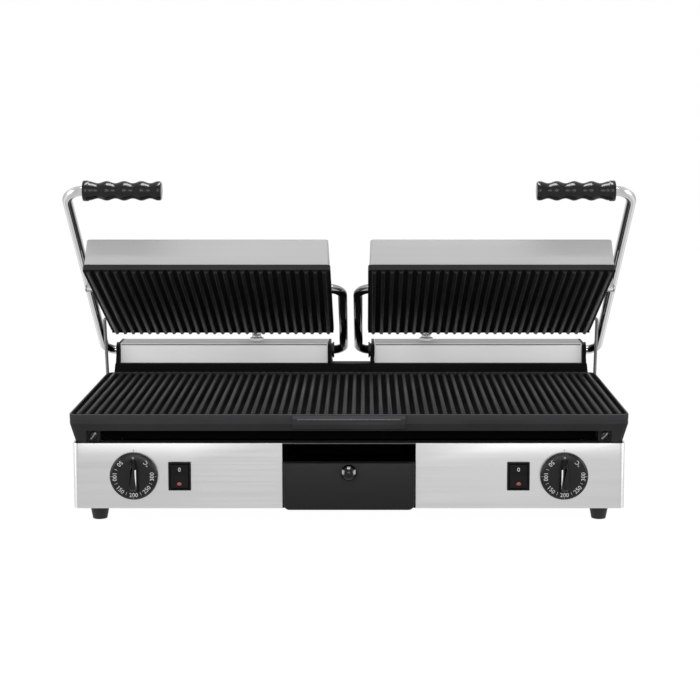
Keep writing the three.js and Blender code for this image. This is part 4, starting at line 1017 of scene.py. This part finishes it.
# Lid frames: round steel bar, bent cold and chromed. The outer bar comes out of the hinge, turns up the
# side and turns in at the top for the grip; the inner bar is bent twice and ends in the lid. Bars and
# grips are laid out shut, as they are bent, and then swung open on the hinge line.
joints = {joint["name"]: joint for joint in frame["joints"]}
hinge_line = Vector(joints["left_arm_hinge"]["pos_m"])
lid_line = Vector(joints["left_lid_tilt"]["pos_m"])
arm_open = math.radians(-32.19)
lid_tilt = math.radians(-25.70)
arm_place = Matrix.Translation(hinge_line) @ Matrix.Rotation(arm_open, 4, "X")
lid_place = Matrix.Translation(lid_line) @ Matrix.Rotation(lid_tilt, 4, "X")


chrome_blue = 1.01


def dulled_steel(name, shade, rough=0.3):
    material, tree, surface = shader(name, (shade, shade, shade * chrome_blue), 1.0, rough)
    haze = grain(tree, 30.0, detail=3.0)
    vary_rough(tree, surface, haze, rough - 0.03, rough + 0.05)
    relief(tree, surface, haze, depth=0.00006, strength=0.12)
    return material


def painted_reflection_chrome(name, inward, bands, rough=0.1):
    """Chrome with painted reflections: its colour runs in bands across the bar by the way each part faces.
    inward is the side, -1 or 1, on which the bands end; each band is (place across the bar from 0 to 1,
    shade)."""
    material, tree, surface = shader(name, (0.62, 0.62, 0.63), 1.0, rough)
    reflection_bands = facing_ramp(tree, "X", -inward, inward, bands, chrome_blue)
    wire(tree, reflection_bands, "Color", surface, "Base Color")
    haze = grain(tree, 30.0, detail=3.0)
    vary_rough(tree, surface, haze, rough - 0.03, rough + 0.05)
    return material


def swing(piece, place):
    piece.matrix_world = place @ piece.matrix_world
    settle(piece)
    return piece


def bend_bar(name, corners, radius, bends, sides=28, steps=9):
    """Round bar drawn out in straight runs and spun round each bend."""
    corners = [Vector(corner) for corner in corners]
    lay_down()
    first = (corners[1] - corners[0]).normalized()
    bpy.ops.mesh.primitive_circle_add(vertices=sides, radius=radius, fill_type="NGON", location=corners[0],
                                      rotation=first.to_track_quat("Z", "Y").to_euler())
    bar = bpy.context.object
    bar.name = name
    settle(bar)
    bpy.ops.object.mode_set(mode="EDIT")
    bpy.ops.mesh.select_all(action="SELECT")
    at = corners[0]
    for corner, after, bend in zip(corners[1:-1], corners[2:], bends):
        come = (corner - at).normalized()
        go = (after - corner).normalized()
        angle = come.angle(go)
        run = bend * math.tan(angle / 2)
        bpy.ops.mesh.extrude_region_move(TRANSFORM_OT_translate={"value": corner - come * run - at})
        middle = corner + (go - come).normalized() * (bend / math.cos(angle / 2))
        bpy.ops.mesh.spin(steps=steps, angle=angle, center=middle, axis=go.cross(come))
        at = corner + go * run
    bpy.ops.mesh.extrude_region_move(TRANSFORM_OT_translate={"value": corners[-1] - at})
    bpy.ops.mesh.select_all(action="SELECT")
    bpy.ops.mesh.remove_doubles(threshold=1e-6)
    bpy.ops.mesh.normals_make_consistent(inside=False)
    bpy.ops.object.mode_set(mode="OBJECT")
    return bar


lug_steel = dulled_steel("dulled_lug_steel", 0.3)
# Painted reflection: the outer bar is light on its outer side, dark on its inner side and grey at its inner
# edge, for the studio and the black plates it would mirror.
outer_reflection_bands = ((0, 0.2), (0.08, 0.42), (0.22, 0.74), (0.38, 0.46), (0.52, 0.56), (0.66, 0.26), (0.78, 0.05),
               (0.90, 0.06), (0.96, 0.4), (1, 0.4))
inner_reflection_bands = ((0, 0.12), (0.2, 0.3), (0.5, 0.34), (0.8, 0.3), (1, 0.4))
bar_radius = 0.0053
outer_x = 0.298
outer_top_x = 0.2025
outer_foot_x = 0.2611
outer_bends = (0.019, 0.014)
inner_x = 0.0086
inner_top_x = 0.0383
inner_foot_x = 0.0437
inner_bends = (0.017, 0.016)
pivot_back = -0.1745986
pivot_up = -0.0007
lug_x = 0.29
lug_end_x = 0.2935
lug_wide = 0.026
lug_size = 0.45
for side, hand in (("left", -1), ("right", 1)):
    outer_chrome = painted_reflection_chrome(side + "_outer_bar_chrome", -hand, outer_reflection_bands)
    inner_chrome = painted_reflection_chrome(side + "_inner_bar_chrome", -hand, inner_reflection_bands)
    outer = bend_bar(side + "_outer_bar",
                     [(hand * outer_top_x, grip_reach, grip_rise), (hand * outer_x, grip_reach, grip_rise),
                      (hand * outer_x, 0, 0), (hand * outer_foot_x, 0, 0)], bar_radius, outer_bends)
    bolt_low, bolt_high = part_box(side + "_pivot_bolt")
    bolt_end = bolt_high.x if hand > 0 else bolt_low.x
    bolt_long = bolt_high.x - bolt_low.x
    dome = [(0.0, 0.0024), (0.0005, 0.0036), (0.0015, 0.0042), (0.0020, 0.0042), (0.0020, 0.0028),
            (bolt_long - 0.0008, 0.0028), (bolt_long, 0.0020)]
    bolt = turn_along(side + "_dome_bolt", dome, (bolt_end, lid_line.y, lid_line.z),
                      "-X" if hand > 0 else "X", 28)
    fit(bolt, side + "_frame", lug_steel, "zinc_steel", side + "_pivot_bolt")
    lug = copy_of(side + "_outer_arm", side + "_lid_lug")
    lug_middle = Vector((hand * lug_x, lid_line.y, lid_line.z))
    pick_faces(lug, lambda at, out: (at - lug_middle).length > lug_wide or abs(at.x) > lug_end_x)
    bpy.ops.mesh.delete(type="FACE")
    bpy.ops.mesh.select_all(action="SELECT")
    bpy.ops.transform.resize(value=(1, lug_size, lug_size), center_override=(0, lid_line.y, lid_line.z))
    bpy.ops.object.mode_set(mode="OBJECT")
    fit(lug, side + "_frame", lug_steel, "chrome_bar", side + "_outer_arm")
    swing(outer, arm_place)
    fit(outer, side + "_frame", outer_chrome, "chrome_bar", side + "_outer_arm", angle=40)
    inner = bend_bar(side + "_inner_bar",
                     [(hand * inner_top_x, pivot_back, pivot_up), (hand * inner_x, pivot_back, pivot_up),
                      (hand * inner_x, 0, 0), (hand * inner_foot_x, 0, 0)], bar_radius, inner_bends)
    swing(inner, arm_place)
    fit(inner, side + "_frame", inner_chrome, "chrome_bar", side + "_inner_arm", angle=40)
    finger_grip(side, hand)


# Lids: a ribbed plate of black enamelled iron with a rim, and on it a deep folded cover of brushed
# steel with plain fronts. A collar at the cover's back holds the conduit. At the rear a low web of
# the casting closes the grooves between the ribs.
# Painted shade: the lid covers' steel is a darker copy of the panel's, for their tilt.
shaded_lid_steel = brushed_steel("painted_shade_lid_steel", 0.42, rough=0.6, metal=0.3)
lid_middle = 0.1505
lid_half = 0.1302
lid_cover_half = 0.1293
lid_cover_deep = 0.1062
lid_cover_low = -0.0101
lid_cover_rise = 0.0293
lid_cover_corner = 0.003
lid_cover_fold = 0.0016
lid_cover_sheet = 0.0012
lid_taper = 0.0012
lid_collar_up = 0.0026
web_thick = 0.0015
web_low = 0.0018
web_high = 0.002
cover_top = lid_cover_low + lid_cover_rise
for hand, (side, conduit_x) in zip((-1, 1), conduits):
    ribs = copy_of(side + "_lid_plate", side + "_ribbed_lid_plate")
    lid_tip = min((lid_place.inverted() @ corner.co).z for corner in ribs.data.vertices)
    # Painted shade in the grooves and painted highlight on the tips, by height, as on the lower plate.
    lid_iron = cast_iron_finish(side + "_lid_iron", lid_place, lid_tip + rib_rise, lid_tip,
                                skin=0.018, wear_and_highlight=0.022, groove=0.002, tip_highlight=0.014, rough=0.34, gloss=0.16)
    ease(ribs, 0.001, 3, 25)
    fit(ribs, side + "_lid", lid_iron, "cast_plate", side + "_lid_plate", angle=50)
    web_back = max((lid_place.inverted() @ corner.co).y for corner in ribs.data.vertices) - 0.0001
    web = cut_block(side + "_lid_back_web",
                    (hand * lid_middle - lid_half, web_back - web_thick, lid_tip + web_low),
                    (hand * lid_middle + lid_half, web_back, lid_tip + rib_rise + web_high))
    ease(web, 0.0005, 2)
    swing(web, lid_place)
    fit(web, side + "_lid", lid_iron, "cast_plate")
    cover = cut_block("lid_shell", (hand * lid_middle - lid_cover_half, -lid_cover_deep, lid_cover_low),
                      (hand * lid_middle + lid_cover_half, lid_cover_deep, cover_top))
    pick_faces(cover, lambda at, out: out.z > straight_on)
    bpy.ops.transform.resize(value=(1 - lid_taper / lid_cover_half, 1 - lid_taper / lid_cover_deep, 1),
                             center_override=(hand * lid_middle, 0, 0))
    cut_away(cover, lambda at, out: out.z < -straight_on)
    round_edges(cover, lid_cover_corner, 6, lambda a, b: abs(a.z - b.z) > 0.01)
    round_edges(cover, lid_cover_fold, 4, lambda a, b: min(a.z, b.z) > cover_top - close)
    give_wall(cover, lid_cover_sheet)
    collar = round_collar((conduit_x, lid_cover_deep, lid_collar_up), "Y")
    whole = joined(side + "_lid_shell", [cover, collar])
    swing(whole, lid_place)
    fit(whole, side + "_lid", shaded_lid_steel, "stainless", side + "_lid_cover")


# Conduits: the wires of each lid run in a ribbed metal hose, from the collar at the back of its cover
# down to the collar on the hinge cover. A hose is in two lengths that meet half way, where the frame
# carries them. Both lengths are left loose, tied to no body.
def ribbed_length(name, spine, radius, groove, pitch):
    """A hose drawn along a line of points, swelling and closing once for each rib by the share groove."""
    lay_down()
    line = bpy.data.curves.new(name, "CURVE")
    line.dimensions = "3D"
    line.bevel_depth = radius
    line.bevel_resolution = 5
    line.use_fill_caps = True
    run = line.splines.new("POLY")
    run.points.add(len(spine) - 1)
    gone = 0.0
    for at, point in enumerate(spine):
        if at:
            gone += (point - spine[at - 1]).length
        swell = 0.5 + 0.5 * math.cos(2 * math.pi * gone / pitch)
        run.points[at].co = (*point, 1)
        run.points[at].radius = 1 - groove * (1 - swell) ** 0.8
    hose = bpy.data.objects.new(name, line)
    scene.collection.objects.link(hose)
    take(hose)
    bpy.ops.object.convert(target="MESH")
    return bpy.context.object


def bezier_point(a, b, c, d, share):
    rest = 1 - share
    return a * rest ** 3 + b * 3 * rest ** 2 * share + c * 3 * rest * share ** 2 + d * share ** 3


hose_steel, hose_tree, hose_surface = shader("ribbed_hose_steel", (0.55, 0.55, 0.56), 1.0, 0.28)
smear = grain(hose_tree, 120.0)
vary_rough(hose_tree, hose_surface, smear, 0.22, 0.42)
vary_colour(hose_tree, hose_surface, smear, (0.36, 0.36, 0.37), (0.62, 0.62, 0.63))
hose_radius = 0.0062
hose_groove = 0.16
hose_straight = 0.0128
hose_bow = 0.02
hose_pitch = 0.0036
steps_a_rib = 6
rough_steps = 60
for side, conduit_x in conduits:
    top_end = lid_place @ Vector((conduit_x, lid_cover_deep, lid_collar_up))
    ahead = (lid_place.to_3x3() @ Vector((0, 1, 0))).normalized()
    low_end = Vector((conduit_x, collar_back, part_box(side + "_hinge_cover")[1].z - collar_rise))
    first = top_end + ahead * hose_straight
    last = low_end + Vector((0, 0, hose_straight))
    rough_line = [top_end, first]
    rough_line += [bezier_point(first, first + ahead * hose_bow, last + Vector((0, 0, hose_bow)), last,
                                step / rough_steps) for step in range(1, rough_steps)]
    rough_line += [last, low_end]
    whole_length = sum((b - a).length for a, b in zip(rough_line, rough_line[1:]))
    count = int(round(whole_length / hose_pitch)) * steps_a_rib
    even = []
    for step in range(count + 1):
        want = whole_length * step / count
        for a, b in zip(rough_line, rough_line[1:]):
            part = (b - a).length
            if want <= part + 1e-9:
                even.append(a + (b - a) * min(1, want / part))
                break
            want -= part
    half = (count // (2 * steps_a_rib)) * steps_a_rib
    meet = even[half]
    upper = ribbed_length(side + "_hose_upper", even[:half + 1], hose_radius, hose_groove, hose_pitch)
    lower = ribbed_length(side + "_hose_lower", even[half:], hose_radius, hose_groove, hose_pitch)
    for hose in (upper, lower):
        fit(hose, "", hose_steel, "stainless", side + "_conduit", angle=60)
    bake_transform(upper)
    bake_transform(lower)


# Side leads: a thin sleeved lead on the outer side of each lid drops behind the plate and goes into the
# base through a rubber grommet. It is in two lengths as well, which meet above the hinge rail.
sleeve, sleeve_tree, sleeve_surface = shader("woven_sleeve", (0.2, 0.2, 0.2), 0.35, 0.42)
weave = grain(sleeve_tree, 1400.0, stretch=(1, 1, 0.5))
vary_colour(sleeve_tree, sleeve_surface, weave, (0.10, 0.10, 0.10), (0.34, 0.34, 0.34))
relief(sleeve_tree, sleeve_surface, weave, depth=0.00008, strength=0.6)
lead_radius = 0.0019
lead_low = 0.062
lead_behind = 0.014
knee_up = 0.02
lead_bend = 0.0035
knee_bend = 0.014
lead_cuts = 12
for side, hand in (("left", -1), ("right", 1)):
    low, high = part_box(side + "_side_lead")
    lead_x = hand * (max(abs(low.x), abs(high.x)) - lead_radius)
    lead_y = hinge_line.y - lead_behind
    start = lid_place @ Vector((hand * 0.2801, 0.0922, -0.0054))
    inward = Vector((hand * 0.288, start.y, start.z))
    knee = Vector((lead_x, lead_y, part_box("hinge_rail")[0].z + knee_up))
    meet = (inward + knee) / 2
    foot_of_lead = Vector((lead_x, lead_y, lead_low))
    in_base = Vector((hand * 0.2885, lead_y, lead_low))
    upper = bend_bar(side + "_lead_upper", [start, inward, meet], lead_radius, (lead_bend,), 16, 6)
    lower = bend_bar(side + "_lead_lower", [meet, knee, foot_of_lead, in_base], lead_radius,
                     (knee_bend, lead_bend), 16, 8)
    for lead in (upper, lower):
        take(lead)
        bpy.ops.object.mode_set(mode="EDIT")
        for part in range(1, lead_cuts):
            cut_z = knee.z + (start.z - knee.z) * part / lead_cuts
            bpy.ops.mesh.select_all(action="SELECT")
            bpy.ops.mesh.bisect(plane_co=(0, 0, cut_z), plane_no=(0, 0, 1))
        bpy.ops.object.mode_set(mode="OBJECT")
        fit(lead, "", sleeve, "zinc_steel", side + "_side_lead", angle=60)
    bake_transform(upper)
    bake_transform(lower)


# Plate screws: one blackened slotted screw holds each front corner leg of the lower plate to the box.
# The slot and the head beside it are a lighter steel, partly wear from the screwdriver and partly a
# painted highlight where its edges catch the light.
dark_screw = dulled_steel("blackened_screw_steel", 0.02)
slot_wear_glint = dulled_steel("slot_wear_and_glint_steel", 0.22)
screw_long = 0.0085
shank_radius = 0.0022
head_radius = 0.0044
screw_profile = [(0.0, shank_radius), (screw_long - 0.0022, shank_radius), (screw_long - 0.0022, head_radius),
                 (screw_long - 0.0008, head_radius), (screw_long - 0.0003, 0.0040), (screw_long, 0.0031)]
slot_half = 0.00055
slot_deep = 0.0012
slot_wear_glint_half = 0.0012
slot_wear_glint_deep = 0.0014
for side, slot_turn in (("left", 0.95), ("right", 0.8)):
    low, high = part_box(side + "_plate_screw")
    middle = (low + high) / 2
    screw = turn_along(side + "_slotted_screw", screw_profile, (middle.x, low.y + screw_long, middle.z), "-Y")
    tool = cut_block("slot_tool", (-0.006, -0.0006, -slot_half), (0.006, slot_deep, slot_half))
    tool.matrix_world = Matrix.Translation((middle.x, low.y, middle.z)) @ Matrix.Rotation(-slot_turn, 4, "Y")
    settle(tool)
    take(screw)
    slot_cut = screw.modifiers.new("slot", "BOOLEAN")
    slot_cut.object = tool
    slot_cut.operation = "DIFFERENCE"
    bpy.ops.object.modifier_apply(modifier=slot_cut.name)
    bpy.data.objects.remove(tool)
    fit(screw, "base", dark_screw, "zinc_steel", side + "_plate_screw")
    # Wear and painted highlight: the slot and the head's faces beside it take the lighter steel.
    screw.data.materials.append(slot_wear_glint)
    for face in screw.data.polygons:
        from_middle = face.center - middle
        off_slot = abs(from_middle.z * math.cos(slot_turn) - from_middle.x * math.sin(slot_turn))
        if off_slot < slot_wear_glint_half and face.center.y < low.y + slot_wear_glint_deep:
            face.material_index = 1


# Rear panel: a stainless plate with two rows of upright slots, let into the back of the box. It is
# punched from the same brushed sheet as the box, with a narrow gap all round.
back_panel = frame["nodes"]["rear_panel"]
back_panel.data.materials.clear()
back_panel.data.materials.append(panel_steel)


# Cable gland: a black nylon gland with a hexagonal nut and a domed cap, screwed into the rear panel
# where the mains lead would come in.
gland = copy_of("cable_gland", "nylon_cable_gland")
ease(gland, 0.0004, 2, 40)
fit(gland, "base", switch_plastic, "black_plastic", "cable_gland")


# Plain pieces that are mostly inside: bent, turned and pressed parts in zinc-plated steel, sintered
# bronze, black enamel, rubber and moulded plastic. They keep their shapes and take their finishes.
def plated_steel(name, shade, rough):
    material, tree, surface = shader(name, (shade,) * 3, 1.0, rough)
    blotch = grain(tree, 45.0)
    vary_rough(tree, surface, blotch, rough - 0.08, rough + 0.12)
    vary_colour(tree, surface, blotch, (shade * 0.85,) * 3, (shade, shade, shade * 1.04))
    return material


zinc_plate = plated_steel("zinc_plated_steel", 0.5, 0.38)
heater_steel = plated_steel("annealed_heater_steel", 0.32, 0.5)
bush_bronze, bronze_tree, bronze_surface = shader("sintered_bronze_bush", (0.035, 0.034, 0.033), 1.0, 0.5)
bronze_pores = grain(bronze_tree, 1500.0)
vary_colour(bronze_tree, bronze_surface, bronze_pores, (0.022, 0.021, 0.020), (0.042, 0.041, 0.040))
relief(bronze_tree, bronze_surface, bronze_pores, depth=0.00004, strength=0.5)
inside_finish = {
    "base_floor": black_paint("black_floor_paint", 0.002, 0.7, 0.02),
    # Painted shade: the heat shield and the drawer guides, seen in the undercut and the mouth, are near black
    # for the shade they lie in.
    "heat_shield": black_paint("painted_shade_shield_steel", 0.0015, 0.7, 0.02),
    "drawer_guide": black_paint("painted_shade_guide_paint", 0.002, 0.7, 0.02),
    "terminal_block": switch_plastic,
    "drawer_knob_screw": zinc_plate,
}
for side in ("left", "right"):
    for node in ("thermostat", "torsion_spring", "hinge_shaft"):
        inside_finish[side + "_" + node] = zinc_plate
    for node in ("lower_heater", "lid_heater"):
        inside_finish[side + "_" + node] = heater_steel
    for node in ("outer_bush", "inner_bush"):
        inside_finish[side + "_" + node] = bush_bronze
    inside_finish[side + "_lead_grommet"] = foot_rubber
for node, finish in inside_finish.items():
    kept = frame["nodes"][node]
    kept.data.materials.clear()
    kept.data.materials.append(finish)
